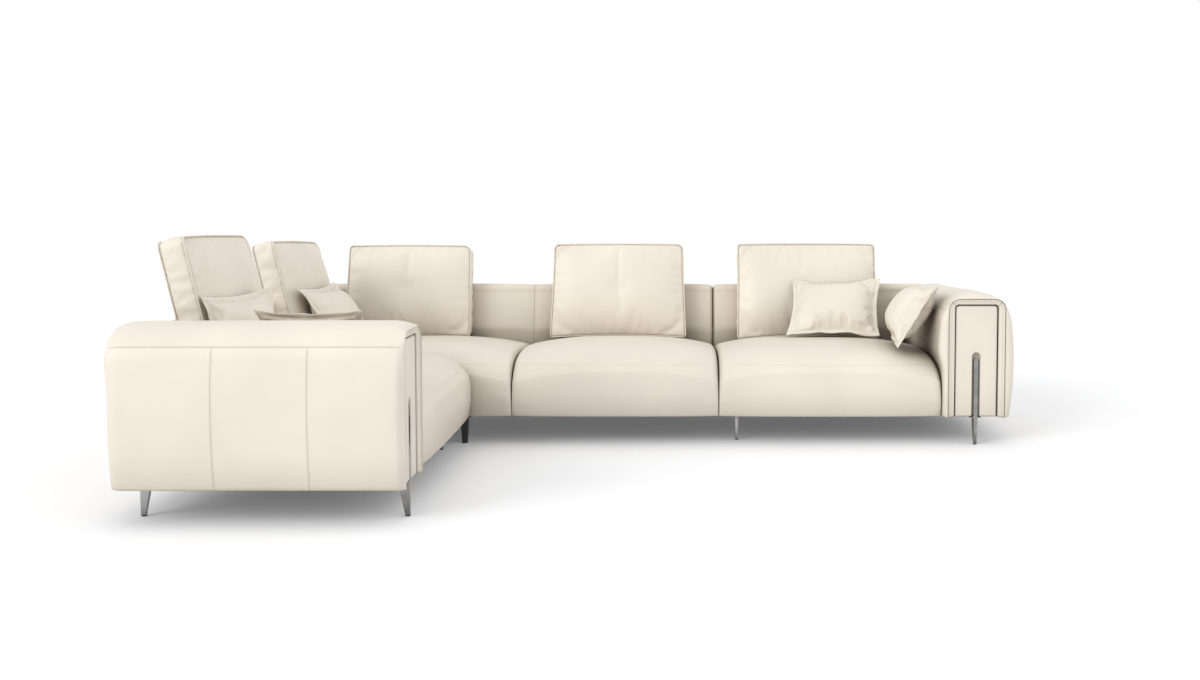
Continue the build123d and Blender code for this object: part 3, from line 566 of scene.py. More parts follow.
ARM_TOP = 0.683
ARM_FOOT, ARM_BELLY, ARM_HIP = (0.150, UNDERSIDE + 0.005), (0.170, 0.373), (0.158, 0.566)
ARM_SHOULDER, ARM_FAR_SHOULDER = (0.085, 0.667), (-0.085, 0.667)
ARM_SEAM_Z = 0.609
ARM_SEAMS = (0.36, 0.68)
WRAP_FRONT, WRAP_BACK = 1.0000, 0.9385
TOP_REAR_ROLL, TOP_REAR_FALL = 0.085, 0.017
SIDE_REAR_ROLL, SIDE_REAR_FALL = 0.055, 0.042
INNER_REAR_ROLL, INNER_REAR_FALL = 0.020, 0.010
FRONT_ROLL, TOP_FRONT_ROLL = 0.026, 0.075
PRESSED, PRESS_LOW, PRESS_RISE, PRESS_TOP = 0.150, 0.32, 0.12, 0.45
ARM_SLOPE = {"left": 0.0, "right": 0.026}
SLOPE_LOW, SLOPE_RISE = 0.48, 0.17
ARM_LEAST, ARM_CLEAR = 0.060, 0.003


def arm_outline():
    """Half of the arm's barrel section, from its foot to the middle of its crown."""
    side = arc3(ARM_FOOT, ARM_BELLY, ARM_HIP, 90)
    shoulder = arc_from(side[-1], side[-1] - side[-2], ARM_SHOULDER, 60)
    crown = arc3(ARM_SHOULDER, (0.0, ARM_TOP), ARM_FAR_SHOULDER, 41)[:21]
    return np.concatenate((side, shoulder[1:], crown[1:]))


ARM_HALF = arm_outline()
ARM_RUN = run_of(ARM_HALF)
ARM_SEAM_RUN = float(np.interp(ARM_SEAM_Z, ARM_HALF[:, 1], ARM_RUN))


def arm_upper(z):
    """The share of an arm's slope that a height takes: none on its side, all of it on its crown."""
    return smooth((np.asarray(z) - SLOPE_LOW) / SLOPE_RISE)


def pressed_in(reach, z):
    """The arm's inner side, which the seat holds flat below its own top."""
    held = PRESSED + (reach - PRESSED) * smooth((z - PRESS_LOW) / PRESS_RISE)
    return np.where(z < PRESS_TOP, held, reach)


def arm_inside(z, slope=0.0):
    """How far from the joint the arm's inner side lies, at heights up its barrel."""
    reach = np.interp(z + slope * arm_upper(z), ARM_HALF[:, 1], ARM_HALF[:, 0])
    return ARM_MIDDLE - pressed_in(np.maximum(reach, ARM_LEAST), z) - ARM_CLEAR


# Seats


SEAT_REAR = BACK_THICK + 0.0006
SEAT_GAP = 0.0018
SEAT_COUNTS = (5, 58, 34, 20)
SEAT_UNDER_COUNT = 24
SEAT_DROP, SEAT_PULL = 0.046, 0.016
SEAT_RISE_Z, SEAT_BACK_Z, SEAT_CROWN_Z, SEAT_EDGE_Z = 0.379, 0.389, 0.434, 0.328
SHOULDER_IN, SHOULDER_Z = 0.088, 0.404
EDGE_IN, FOOT_IN, FOOT_LIFT = 0.006, 0.014, 0.004
COVER_PLAY, RIM_MOST, RIM_LEAST = 0.002, 0.040, 0.0055
CROWN_SHIFT = 0.65
EDGE_PASSES, EDGE_REACH = 6, 8
SEAT_ROLL, LOW_ROLL, LOW_ROLL_Z, LOW_ROLL_RISE = 0.026, 0.14, 0.15, 0.22
REAR_ROLL_SHARE = 0.4
ARM_FOLLOW, ARM_FOLLOW_RUN = 0.02, 0.12
SEAT_SEAM_Z, SEAT_SEAM_WIDE, SEAT_SEAM_DEEP = 0.357, 0.0035, 0.0012
CORNER_FRONT, CORNER_COVER, END_COVER = DEPTH - 0.003, 0.962, 0.935


def seat_section(fall, v_front, cover_front):
    """The closed section of a seat, from its rear foot up, over the top, down the front and back."""
    drop = SEAT_DROP * fall
    nose = v_front - SEAT_PULL * fall
    back_top = (SEAT_REAR, SEAT_BACK_Z - drop)
    crown = ((SEAT_REAR + v_front) / 2, SEAT_CROWN_Z - drop)
    shoulder = (nose - SHOULDER_IN, SHOULDER_Z - drop)
    edge = (nose - EDGE_IN, SEAT_EDGE_Z - drop)
    waist = (nose, (SEAT_EDGE_Z + UNDERSIDE) / 2)
    foot = (nose - FOOT_IN, UNDERSIDE + FOOT_LIFT)
    rise_count, top_count, edge_count, front_count = SEAT_COUNTS
    rise = stack(SEAT_REAR, np.linspace(HOLLOW, SEAT_RISE_Z - drop, rise_count))
    top = arc3(back_top, crown, shoulder, top_count)
    share = (top[:, 0] - SEAT_REAR) / (shoulder[0] - SEAT_REAR)
    top[:, 0] += CROWN_SHIFT * share * (1 - share) * (shoulder[0] - SEAT_REAR)
    shoulder_arc = arc_from(shoulder, top[-1] - top[-2], edge, edge_count)
    front = arc3(edge, waist, foot, front_count)
    rim = min(max(cover_front + COVER_PLAY, foot[0] - RIM_MOST), foot[0] - RIM_LEAST)
    tuck = np.array((
        (foot[0] - 0.0015, UNDERSIDE + 0.0012), (foot[0] - 0.0050, UNDERSIDE),
        (rim, UNDERSIDE), (rim - 0.001, HOLLOW),
    ))
    bottom = stack(np.linspace(tuck[-1][0] - 0.02, SEAT_REAR + 0.02, SEAT_UNDER_COUNT), HOLLOW)
    return np.concatenate((rise, top[:-1], shoulder_arc[:-1], front, tuck, bottom))


def seat(name, body, start, end, v_front, cover_front, place, creases, meets_arm=False, joint_fall=1.0):
    """A padded seat with rounded ends. An end at an arm follows the arm's inner side by up to 20 mm."""
    length = end - start
    rise_count, top_end = SEAT_COUNTS[0], sum(SEAT_COUNTS)
    edge_index = sum(SEAT_COUNTS[:3]) - 2
    near_edge = np.arange(edge_index - EDGE_REACH, edge_index + EDGE_REACH + 1)
    rings = []
    for a in roll_stations(length, SEAT_ROLL, SEAT_ROLL, STEP * 1.15):
        to_end = min(a, length - a)
        fall = abs(2 * a / length - 1) ** 3 * (joint_fall if a < length / 2 else 1)
        loop = seat_section(fall, v_front, cover_front)
        rolled = LOW_ROLL + (1 - LOW_ROLL) * smooth((loop[:, 1] - LOW_ROLL_Z) / LOW_ROLL_RISE)
        fallback = roll(to_end, SEAT_ROLL) * rolled
        shift = inward(loop) * fallback[:, None]
        for _ in range(EDGE_PASSES):
            shift[near_edge] = (shift[near_edge - 1] + 2 * shift[near_edge] + shift[near_edge + 1]) / 4
        shift[top_end - 2:] = 0
        shift[top_end - 2:top_end + 2, 0] = -fallback[top_end - 3]
        shift[:rise_count] *= REAR_ROLL_SHARE
        moved = loop + shift
        moved[:, 1] = np.maximum(moved[:, 1], UNDERSIDE)
        moved[:rise_count, 1] = np.minimum(moved[:rise_count, 1], moved[rise_count, 1] - 0.004)
        if to_end < END_HEM:
            moved[top_end + 1:, 1] = UNDERSIDE
        x = np.full(len(loop), start + a)
        if meets_arm:
            near_arm = smooth((a - length + ARM_FOLLOW_RUN) / ARM_FOLLOW_RUN)
            x += np.clip(arm_inside(loop[:, 1]) - end, 0, ARM_FOLLOW) * near_arm
        rings.append(np.column_stack((x, moved)))
    piece, local = tube(name, rings, place)
    index = np.arange(len(local)) % len(rings[0])
    soft = ((index >= rise_count) & (index < top_end - 3)).astype(float)
    on_front = smooth((local[:, 1] - v_front + 0.085) / 0.02)
    from_end = np.minimum(local[:, 0] - start, end - local[:, 0])
    world = points_of(piece)
    seam = bell(local[:, 2] - SEAT_SEAM_Z, SEAT_SEAM_WIDE) * soft * on_front
    lift = 0.0014 * ripple(world, 3.0, 2.3) + 0.0007 * ripple(world, 9.0, 5.1)
    lift += 0.0011 * np.sin(index * 0.85 + 2.0 * ripple(world, 8.0, 1.1)) * np.exp(-from_end / 0.045)
    lift -= SEAT_SEAM_DEEP * seam
    for fold in creases:
        lift += crease(world, *fold)
    push(piece, lift * soft * smooth(from_end / 0.02))
    paint_seams_and_shade(piece, 0.08 * seam)
    dress(piece, body, HIDE, name.replace("_leather", "_cushion"), fill=0.85)


def crease(world, start, end, width, depth):
    """A soft fold along a line that fades at both ends, with a ridge beside it."""
    start, end = np.asarray(start, float), np.asarray(end, float)
    run = end - start
    share = np.clip((world - start) @ run / (run @ run), 0, 1)
    away = np.linalg.norm(world - start - share[:, None] * run, axis=1)
    fade = np.sin(math.pi * (0.06 + 0.88 * share))
    return fade * (depth * 0.5 * bell(away - 2.0 * width, width) - depth * bell(away, width))


LEFT_CREASES = (
    ((-0.80, -0.70, 0.425), (-0.74, -0.40, 0.40), 0.012, 0.0045),
)
GATHERS = ((0.352, 0.338, 0.11), (0.364, 0.372, 0.14), (0.372, 0.398, 0.10))
GATHER_START, GATHER_WIDE, GATHER_DEEP = 0.010, 0.007, 0.0026


def gathers(start, end, y):
    """Short folds that run in from the two ends of a seat's front seam."""
    folds = []
    for edge, way in ((start, 1), (end, -1)):
        for low, high, reach in GATHERS:
            outer = (edge + way * GATHER_START, y + 0.012, low)
            inner = (edge + way * reach, y + 0.006, high)
            folds.append((outer, inner, GATHER_WIDE, GATHER_DEEP))
    return folds


END_SEAT = (SEAT_GAP, SEAT_END - END_PLAY, DEPTH, END_COVER)
seat("left_seat_leather", "left_module", *END_SEAT, left_place, LEFT_CREASES,
     meets_arm=True, joint_fall=0.35)
seat("right_seat_leather", "right_module", *END_SEAT, right_place,
     gathers(JOINT_X, JOINT_X + SEAT_END, JOINT_Y), meets_arm=True)
seat("corner_seat_leather", "corner_module", LEFT_X + SEAT_REAR, SEAM_X - SEAT_GAP,
     CORNER_FRONT, CORNER_COVER, rear_place, ())
seat("middle_seat_leather", "corner_module", SEAM_X + SEAT_GAP, JOINT_X - SEAT_GAP,
     CORNER_FRONT, CORNER_COVER, rear_place, gathers(SEAM_X, JOINT_X, JOINT_Y))


# Low backs


BACK_TOP, BACK_TOP_THICK, BACK_RADIUS = 0.650, 0.075, 0.026
BACK_LIFT = 0.006
LEAN_START = 0.420
CORNER_ROUND = 0.045
JOINT_ROLL, ARM_END_ROLL = 0.022, 0.004
JOINT_GAP = 0.0004
ARM_OVERLAP = 0.017
MITRE_REACH = 0.25
BACK_HEM = ((0.018, HOLLOW), (0.017, UNDERSIDE), (0.006, UNDERSIDE), (0.0015, UNDERSIDE + 0.0015))
HEM, UNDER = len(BACK_HEM), 8
BACK_SEAM_WIDE, BACK_SEAM_DEEP, GAP_SHADE_WIDE = 0.0016, 0.0015, 0.0035
BACK_STITCH_IN = 0.0055


def back_section():
    """The closed section of a low back: outside up, over the top, down the leaning inside."""
    tilt = math.atan((BACK_THICK - BACK_TOP_THICK) / (BACK_TOP - LEAN_START))
    turn_z = BACK_TOP - BACK_RADIUS
    outside = stack(0.0, np.linspace(UNDERSIDE + BACK_LIFT, turn_z, 30))
    outer = on_circle((BACK_RADIUS, turn_z), BACK_RADIUS, HALF_TURN, -QUARTER, 9)
    middle = BACK_TOP_THICK - BACK_RADIUS * (1 - math.sin(tilt)) / math.cos(tilt)
    inner = on_circle((middle, turn_z), BACK_RADIUS, QUARTER, -tilt - QUARTER, 11)
    slope = np.linspace(inner[-1], (BACK_THICK, LEAN_START), 16)
    foot = stack(BACK_THICK, np.linspace(LEAN_START, HOLLOW, 16))
    bottom = stack(np.linspace(BACK_THICK - 0.015, 0.026, UNDER), HOLLOW)
    return np.concatenate((outside, outer[1:], inner, slope[1:], foot[1:], bottom, BACK_HEM))


def low_back(name, body, start, end, seams, place, mitre=None, arm_slope=None):
    """A padded low back that swells between its seams. A mitred end follows the section's depth."""
    meets_arm = arm_slope is not None
    section = back_section()
    length = end - start
    rolls = (JOINT_ROLL, ARM_END_ROLL if meets_arm else JOINT_ROLL)
    turned = inward(section)
    extra = np.zeros(len(section))
    if meets_arm:
        extra = arm_inside(section[:, 1], arm_slope) - end + ARM_OVERLAP
    rings = []
    for a in roll_stations(length, *rolls, STEP * 1.5, [s - start for s in seams]):
        fallback = max(roll(a, rolls[0]), roll(length - a, rolls[1]))
        loop = section + turned * fallback
        loop[-UNDER - HEM:] = section[-UNDER - HEM:]
        loop[-HEM:, 0] += fallback
        under_ends = (loop[-UNDER - HEM - 1, 0] - 0.012, loop[-HEM, 0] + 0.006)
        loop[-UNDER - HEM:-HEM, 0] = np.linspace(*under_ends, UNDER)
        loop[:, 1] = np.maximum(loop[:, 1], UNDERSIDE)
        if min(a, length - a) < END_HEM:
            loop[section[:, 1] == HOLLOW, 1] = UNDERSIDE
        x = start + a + extra * smooth((a / length - 0.7) / 0.3)
        if mitre == "start":
            x = start + a + section[:, 0] * max(0, 1 - a / MITRE_REACH)
        if mitre == "end":
            x = start + a - section[:, 0] * max(0, 1 - (length - a) / MITRE_REACH)
        rings.append(np.column_stack((x, loop)))
    piece, local = tube(name, rings, place)
    count = len(section)
    world = points_of(piece)
    if mitre:
        a, b = CORNER_ROUND - (world[:, 0] - LEFT_X), CORNER_ROUND - (REAR_Y - world[:, 1])
        near, factor = rounding(a, b)
        world[:, 0] = np.where(near, LEFT_X + CORNER_ROUND - a * factor, world[:, 0])
        world[:, 1] = np.where(near, REAR_Y - CORNER_ROUND + b * factor, world[:, 1])
        set_points(piece, world)
    index = np.arange(len(local)) % count
    edges = [start, *seams] + ([] if meets_arm else [end])
    puff = 1 - np.exp(-nearest(local[:, 0], edges) / 0.07)
    upper = smooth((local[:, 2] - UNDERSIDE) / 0.08)
    seam = bell(nearest(local[:, 0], seams), BACK_SEAM_WIDE)
    inner = smooth((local[:, 1] - 0.03) / 0.03) * smooth((local[:, 2] - 0.40) / 0.04)
    outer = smooth((0.02 - local[:, 1]) / 0.02)
    lift = puff * (0.007 * inner + 0.004 * outer * upper)
    lift += 0.0012 * ripple(world, 5.0, 7.7) * upper
    lift -= BACK_SEAM_DEEP * seam * upper
    from_end = np.minimum(local[:, 0] - start, end + extra.max() - local[:, 0])
    push(piece, lift * smooth(from_end / 0.012) * (index < count - UNDER - HEM - 2))
    joint = end if mitre == "start" else start
    on_skin = on_tube(np.ones((len(rings), count)), 0)
    # Painted shadow: a dark line at the joint end, where the gap between modules lies in shade
    gap_shade = bell(local[:, 0] - joint, GAP_SHADE_WIDE) * on_skin
    paint_seams_and_shade(piece, np.maximum(0.45 * seam * upper, 0.9 * gap_shade * inner))
    dress(piece, body, HIDE, name.replace("_leather", "_pad"), fill=0.8)
    line = section[2:-30]
    rows = [place(stack(s + BACK_STITCH_IN, line[:, 0], line[:, 1])) for s in seams]
    stitches(name.replace("_leather", "_stitching"), piece, body, rows)


for side_name, place in END_MODULES:
    low_back(f"{side_name}_back_leather", f"{side_name}_module", JOINT_GAP, SEAT_END - END_PLAY,
             (0.36, 0.68), place, arm_slope=ARM_SLOPE[side_name])
low_back("rear_back_leather", "corner_module", LEFT_X + JOINT_GAP, JOINT_X - JOINT_GAP,
         (-1.13, SEAM_X, -0.08), rear_place, "start")
low_back("side_back_leather", "corner_module", JOINT_Y + JOINT_GAP, REAR_Y - JOINT_GAP,
         (0.56,), side_place, "end")


# Arms


BAND_FRONT, BAND_RISE, BAND_PLAY = 0.990, 0.0070, 0.0010
BAND_HALF, BAND_TOP, BAND_ROUND = 0.1265, 0.6550, 0.046
WINDOW_HALF, WINDOW_TOP, WINDOW_ROUND = 0.0975, 0.6305, 0.018
BAND_COUNTS = (42, 25, 10)
BAND_EDGE, BAND_SIDE = 0.0055, 0.022
BAND_LINE, BAND_STITCH_LINE = 0.64, 0.64 - 0.16
BAND_LINE_WIDE, BAND_LINE_DEEP, BAND_MITRE_DEEP = 0.0016, 0.0008, 0.0022
PANEL_HALF, PANEL_TOP, PANEL_ROUND, PANEL_FRONT = 0.0935, 0.6265, 0.015, 0.985
PANEL_EDGE = 0.009
CHANNEL_TOP, CHANNEL_HALF, CHANNEL_LIP, CHANNEL_DEEP = 0.397, 0.012, 0.0095, 0.0136
ARM_TUCK = ((0.147, UNDERSIDE + 0.001), (0.141, UNDERSIDE), (0.1335, UNDERSIDE), (0.1325, HOLLOW))
ARM_SEAM_WIDE, ARM_SEAM_DEEP, ARM_STITCH_IN = 0.0011, 0.0010, 0.0042
ARM_STITCH_END = 0.035


def band_edge(loop):
    """Where the wrap's front rim meets the band, for each point of the barrel."""
    corner_w, corner_z = BAND_HALF - BAND_ROUND, BAND_TOP - BAND_ROUND
    wide, high = np.abs(loop[:, 0]), loop[:, 1]
    out_w, out_z = wide - corner_w, high - corner_z
    reach = BAND_ROUND + BAND_PLAY
    size = np.maximum(np.hypot(out_w, out_z), TINY)
    round_w, round_z = corner_w + out_w * reach / size, corner_z + out_z * reach / size
    w = np.where(out_w <= 0, wide, np.where(out_z <= 0, corner_w + reach, round_w))
    z = np.where(out_z <= 0, high, np.where(out_w <= 0, corner_z + reach, round_z))
    return stack(np.sign(loop[:, 0]) * w, z)


def arm(side_name, place):
    """An arm's padded wrap, from its rounded rear to the rim round the band."""
    body = f"{side_name}_module"
    slope = ARM_SLOPE[side_name]
    at = spaced(ARM_RUN[-1], STEP, (ARM_SEAM_RUN,))
    half = along_line(ARM_HALF, at)
    tuck = np.array(ARM_TUCK)
    foot = len(tuck)
    bottom = stack(np.linspace(-0.11, 0.11, 12), HOLLOW)
    loop = np.concatenate((tuck[::-1], half, (half * MIRROR)[-2::-1], tuck * MIRROR, bottom))
    run = np.concatenate((np.full(foot, -1.0), at, at[-2::-1], np.full(foot + len(bottom), -1.0)))
    below_foot = run < 0
    turned = inward(loop)
    turned[below_foot] = 0
    under = loop[:, 1] == HOLLOW
    inside = ~below_foot & (loop[:, 0] < -0.1)
    loop[inside, 0] = -pressed_in(-loop[inside, 0], loop[inside, 1])
    outside = smooth((loop[:, 0] + 0.10) / 0.16)
    upper = smooth((loop[:, 1] - 0.54) / 0.10)
    square = 1 - 0.7 * smooth((loop[:, 1] - 0.44) / 0.14)
    edge = band_edge(loop)
    edge[below_foot] = loop[below_foot] * (edge[foot, 0] / loop[foot, 0], 1)
    rings = []
    for v in roll_stations(WRAP_FRONT, SIDE_REAR_ROLL, TOP_FRONT_ROLL, STEP * 1.2, ARM_SEAMS):
        inner = roll(v, INNER_REAR_ROLL, INNER_REAR_FALL)
        side = inner + (roll(v, SIDE_REAR_ROLL, SIDE_REAR_FALL) * square - inner) * outside
        behind = side + (roll(v, TOP_REAR_ROLL, TOP_REAR_FALL) - side) * upper
        ahead = roll(WRAP_FRONT - v, FRONT_ROLL, 1.0)
        ahead = ahead + (roll(WRAP_FRONT - v, TOP_FRONT_ROLL, 1.0) - ahead) * upper
        moved = loop + turned * behind[:, None] + (edge - loop) * ahead[:, None]
        moved[below_foot, 0] *= 1 - behind[below_foot] / half[0, 0]
        moved[:, 1] -= slope * arm_upper(loop[:, 1]) * smooth((WRAP_FRONT - v) / WRAP_FRONT)
        moved[:, 1] = np.maximum(moved[:, 1], UNDERSIDE)
        if v < END_HEM:
            moved[under, 1] = UNDERSIDE
        depth = np.where(under, min(v, WRAP_BACK), v)
        rings.append(stack(ARM_MIDDLE + moved[:, 0], depth, moved[:, 1]))
    channel_shade = rings[-1].copy()
    channel_shade[:, 1] = WRAP_BACK
    rings.append(channel_shade)
    piece, local = tube(f"{side_name}_arm_leather", rings, place)
    world = points_of(piece)
    track = np.concatenate((np.tile(run, len(rings) + 2 * CAP_RINGS), (-1.0, -1.0)))
    on_barrel = track >= 0
    across = np.abs(track - ARM_SEAM_RUN)
    below = smooth((ARM_SEAM_RUN - track) / 0.004) * on_barrel
    along = nearest(local[:, 1], ARM_SEAMS)
    seam = np.maximum(bell(across, ARM_SEAM_WIDE), bell(along, ARM_SEAM_WIDE) * below)
    from_end = np.minimum(local[:, 1], WRAP_FRONT - local[:, 1])
    gap = np.minimum(along, from_end)
    puff = (1 - np.exp(-gap / 0.06)) * below * smooth(track / 0.06) * (1 - np.exp(-across / 0.05))
    lift = 0.0006 * puff + 0.0012 * ripple(world, 4.0, 3.3) - ARM_SEAM_DEEP * seam
    push(piece, lift * on_barrel * smooth(from_end / 0.03))
    paint_seams_and_shade(piece, 0.65 * seam * on_barrel * smooth(from_end / 0.02))
    dress(piece, body, HIDE, f"{side_name}_arm_wrap", fill=0.85)
    rows = []
    depth = np.linspace(ARM_STITCH_END, WRAP_FRONT - ARM_STITCH_END, 60)
    w, z = along_line(ARM_HALF, [ARM_SEAM_RUN + ARM_STITCH_IN])[0]
    lowered = z - slope * arm_upper(z) * smooth((WRAP_FRONT - depth) / WRAP_FRONT)
    line = along_line(ARM_HALF, np.linspace(0.012, ARM_SEAM_RUN - 0.007, 50))
    for sign in (-1, 1):
        rows.append(place(stack(ARM_MIDDLE + sign * w, depth, lowered)))
        for v in ARM_SEAMS:
            rows.append(place(stack(ARM_MIDDLE + sign * line[:, 0], v + ARM_STITCH_IN, line[:, 1])))
    stitches(f"{side_name}_arm_stitching", piece, body, rows)


def arch(half, top, radius, legs, corner, across):
    """An inverted U: up one leg, round a corner, across and down, with shared counts."""
    up = stack(-half, np.linspace(UNDERSIDE, top - radius, legs))
    bend = on_circle((radius - half, top - radius), radius, HALF_TURN, -QUARTER, corner)
    over = stack(np.linspace(radius - half, 0, across), top)
    left = np.concatenate((up, bend[1:], over[1:]))
    return np.concatenate((left, (left * MIRROR)[-2::-1]))


def band(side_name, place):
    """The band round an arm's front, with mitred upper corners and a stitched line."""
    body = f"{side_name}_module"
    inner = arch(WINDOW_HALF, WINDOW_TOP, WINDOW_ROUND, *BAND_COUNTS)
    outer = arch(BAND_HALF, BAND_TOP, BAND_ROUND, *BAND_COUNTS)
    wide = BAND_HALF - WINDOW_HALF
    edge_v, far_edge = BAND_FRONT - BAND_EDGE, wide - BAND_EDGE
    low_edge = on_circle((BAND_EDGE, edge_v), BAND_EDGE, HALF_TURN, -QUARTER, 7)
    high_edge = on_circle((far_edge, edge_v), BAND_EDGE, QUARTER, -QUARTER, 7)
    front = stack(np.linspace(BAND_EDGE, far_edge, 13)[1:-1], BAND_FRONT)
    side_v = (WRAP_BACK, WRAP_BACK + BAND_SIDE)
    section = np.concatenate((stack(0.0, side_v), low_edge, front, high_edge, stack(wide, side_v[::-1])))
    seam_across = np.abs(section[:, 0] - wide * BAND_LINE) + 10 * (section[:, 1] < BAND_FRONT - 0.001)
    section[2:-2, 1] += BAND_RISE * section[2:-2, 0] / wide
    share = (section[:, 0] / wide)[:, None]
    rings = []
    for near, far in zip(inner, outer):
        spot = near + share * (far - near)
        rings.append(stack(ARM_MIDDLE + spot[:, 0], section[:, 1], spot[:, 1]))
    piece, local = tube(f"{side_name}_arm_band_leather", rings, place)
    tracks = np.arange(len(rings))
    step = on_tube(np.tile(tracks[:, None], len(section)), -1)
    corner_at = BAND_COUNTS[0] - 1 + BAND_COUNTS[1] // 2
    mitre = nearest(step, (corner_at, len(rings) - 1 - corner_at))
    across = np.concatenate((np.tile(seam_across, len(rings) + 2 * CAP_RINGS), (1, 1)))
    shown = (step >= 0) & (local[:, 1] > BAND_FRONT - 0.015)
    line = bell(across, BAND_LINE_WIDE) * shown
    corner = np.where(mitre == 0, 1.0, 0.0) * shown
    push(piece, -BAND_LINE_DEEP * line - BAND_MITRE_DEEP * corner)
    paint_seams_and_shade(piece, 0.22 * line + 0.75 * corner)
    dress(piece, body, HIDE, f"{side_name}_arm_band", fill=0.8)
    line = inner + BAND_STITCH_LINE * (outer - inner)
    row = stack(ARM_MIDDLE + line[:, 0], BAND_FRONT + BAND_RISE * BAND_STITCH_LINE, line[:, 1])
    stitches(f"{side_name}_band_stitching", piece, body, [place(row)])


def panel(side_name, place):
    """The inset front panel, with the arched channel that the blade runs in."""
    lip = CHANNEL_HALF + CHANNEL_LIP
    low = UNDERSIDE + 0.001
    columns = np.unique(np.concatenate((
        np.linspace(-PANEL_HALF, PANEL_HALF, 25), np.linspace(-lip, lip, 33),
        PANEL_EDGE * eased(8) - PANEL_HALF, PANEL_HALF - PANEL_EDGE * eased(8),
    )).round(5))
    rows = np.unique(np.concatenate((
        np.linspace(low, PANEL_TOP, 60), np.linspace(CHANNEL_TOP - 0.004, CHANNEL_TOP + lip, 14),
        PANEL_TOP - PANEL_ROUND * eased(14), low + PANEL_EDGE * eased(6),
    )).round(5))
    w, z = np.meshgrid(columns, rows)
    over = np.clip(z - (PANEL_TOP - PANEL_ROUND), 0, PANEL_ROUND)
    half = PANEL_HALF - PANEL_ROUND + np.sqrt(np.maximum(PANEL_ROUND ** 2 - over ** 2, 0))
    w = w * half / PANEL_HALF
    past = np.abs(w) - (PANEL_HALF - PANEL_ROUND)
    corner = PANEL_ROUND - np.hypot(np.maximum(past, 0), over)
    straight = np.minimum(PANEL_HALF - np.abs(w), PANEL_TOP - z)
    rest = np.where((past > 0) & (over > 0), corner, straight)
    rest = np.clip(np.minimum(rest, z - low), 0, None)
    q = np.where(z < CHANNEL_TOP, np.abs(w), np.hypot(w, z - CHANNEL_TOP))
    channel = CHANNEL_DEEP * (1 - smooth((q - CHANNEL_HALF) / CHANNEL_LIP))
    crown = 0.0012 * smooth(rest / 0.05) * smooth((q - lip) / 0.03)
    v = PANEL_FRONT + crown - channel - roll(rest, PANEL_EDGE)
    front = stack(ARM_MIDDLE + w.ravel(), v.ravel(), z.ravel())
    back = front.copy()
    back[:, 1] = WRAP_BACK
    ids, rear_ids, faces = two_sheets(*w.shape)
    faces += bridge(rim_of(ids), rim_of(rear_ids))
    made = mesh_object(f"{side_name}_arm_panel_leather", place(np.concatenate((front, back))), faces)
    # Painted shade in the channel round the blade, darkest under its arched top
    channel_shade = (channel / CHANNEL_DEEP * (0.06 + 0.5 * smooth((z - CHANNEL_TOP + 0.02) / 0.02))).ravel()
    paint_seams_and_shade(made, np.concatenate((channel_shade, channel_shade)))
    dress(made, f"{side_name}_module", HIDE, f"{side_name}_arm_panel", fill=0.75)


for side_name, place in END_MODULES:
    arm(side_name, place)
    band(side_name, place)
    panel(side_name, place)


# Cloth


SIM_FRAMES = 22
CLOTH_SETTINGS = {
    "quality": 6, "mass": 0.4,
    "tension_stiffness": 30, "compression_stiffness": 30, "shear_stiffness": 12,
    "tension_damping": 12, "compression_damping": 12, "shear_damping": 12, "air_damping": 4,
    "vertex_group_mass": "held", "pin_stiffness": 1.0, "use_pressure": True,
}


def inflate(piece, pins, pressure, slack, cap, bending):
    """Blows a sewn cover up with its pinned seams held, and keeps each point within a cap."""
    before = points_of(piece)
    held = piece.vertex_groups.new(name="held")
    for weight, points in pins:
        held.add([int(p) for p in points], weight, "REPLACE")
    cloth = piece.modifiers.new("cloth", "CLOTH")
    settings = cloth.settings
    for setting, value in CLOTH_SETTINGS.items():
        setattr(settings, setting, value)
    settings.bending_stiffness = bending
    settings.uniform_pressure_force = pressure
    settings.shrink_min = -slack
    settings.effector_weights.gravity = 0
    cloth.collision_settings.use_collision = False
    cloth.point_cache.frame_start = 1
    cloth.point_cache.frame_end = SIM_FRAMES
    for step in range(1, SIM_FRAMES + 1):
        scene.frame_set(step)
    moved = points_of(piece.evaluated_get(bpy.context.evaluated_depsgraph_get())) - before
    size = np.maximum(np.linalg.norm(moved, axis=1), TINY)
    limit = np.minimum(1, cap * np.tanh(size / cap) / size)
    piece.modifiers.remove(cloth)
    piece.vertex_groups.remove(held)
    set_points(piece, before + moved * limit[:, None])
    scene.frame_set(1)


def leaning(origin, facing, tilt):
    """Maps (across, backward, up) of a leaning cushion to the shared frame; place.local maps back."""
    f, t = math.radians(facing), math.radians(tilt)
    ahead = np.array((math.cos(f), math.sin(f)))
    across = np.array((-ahead[1], ahead[0], 0))
    rise = np.array((-ahead[0] * math.sin(t), -ahead[1] * math.sin(t), math.cos(t)))
    basis = np.array((across, np.cross(rise, across), rise))
    place = mapping(origin, *basis)
    place.local = lambda p: (p - np.array(origin)) @ basis.T
    return place


def round_corners(x, z, half, low, high, left, right, foot):
    """Moves the points of a rectangle's grid so that its upper corners and its foot are round."""
    middle = (low + high) / 2
    radius = np.where(z < middle, foot, np.where(x < 0, left, right))
    a = np.abs(x) - (half - radius)
    b = np.abs(z - middle) - ((high - low) / 2 - radius)
    near, factor = rounding(a, b)
    x = np.where(near, np.sign(x) * (half - radius + a * factor), x)
    z = np.where(near, middle + np.sign(z - middle) * ((high - low) / 2 - radius + b * factor), z)
    return x, z


PIPING_SIDES, PIPING_RADIUS, PIPING_OUT = 8, 0.0032, 0.0012


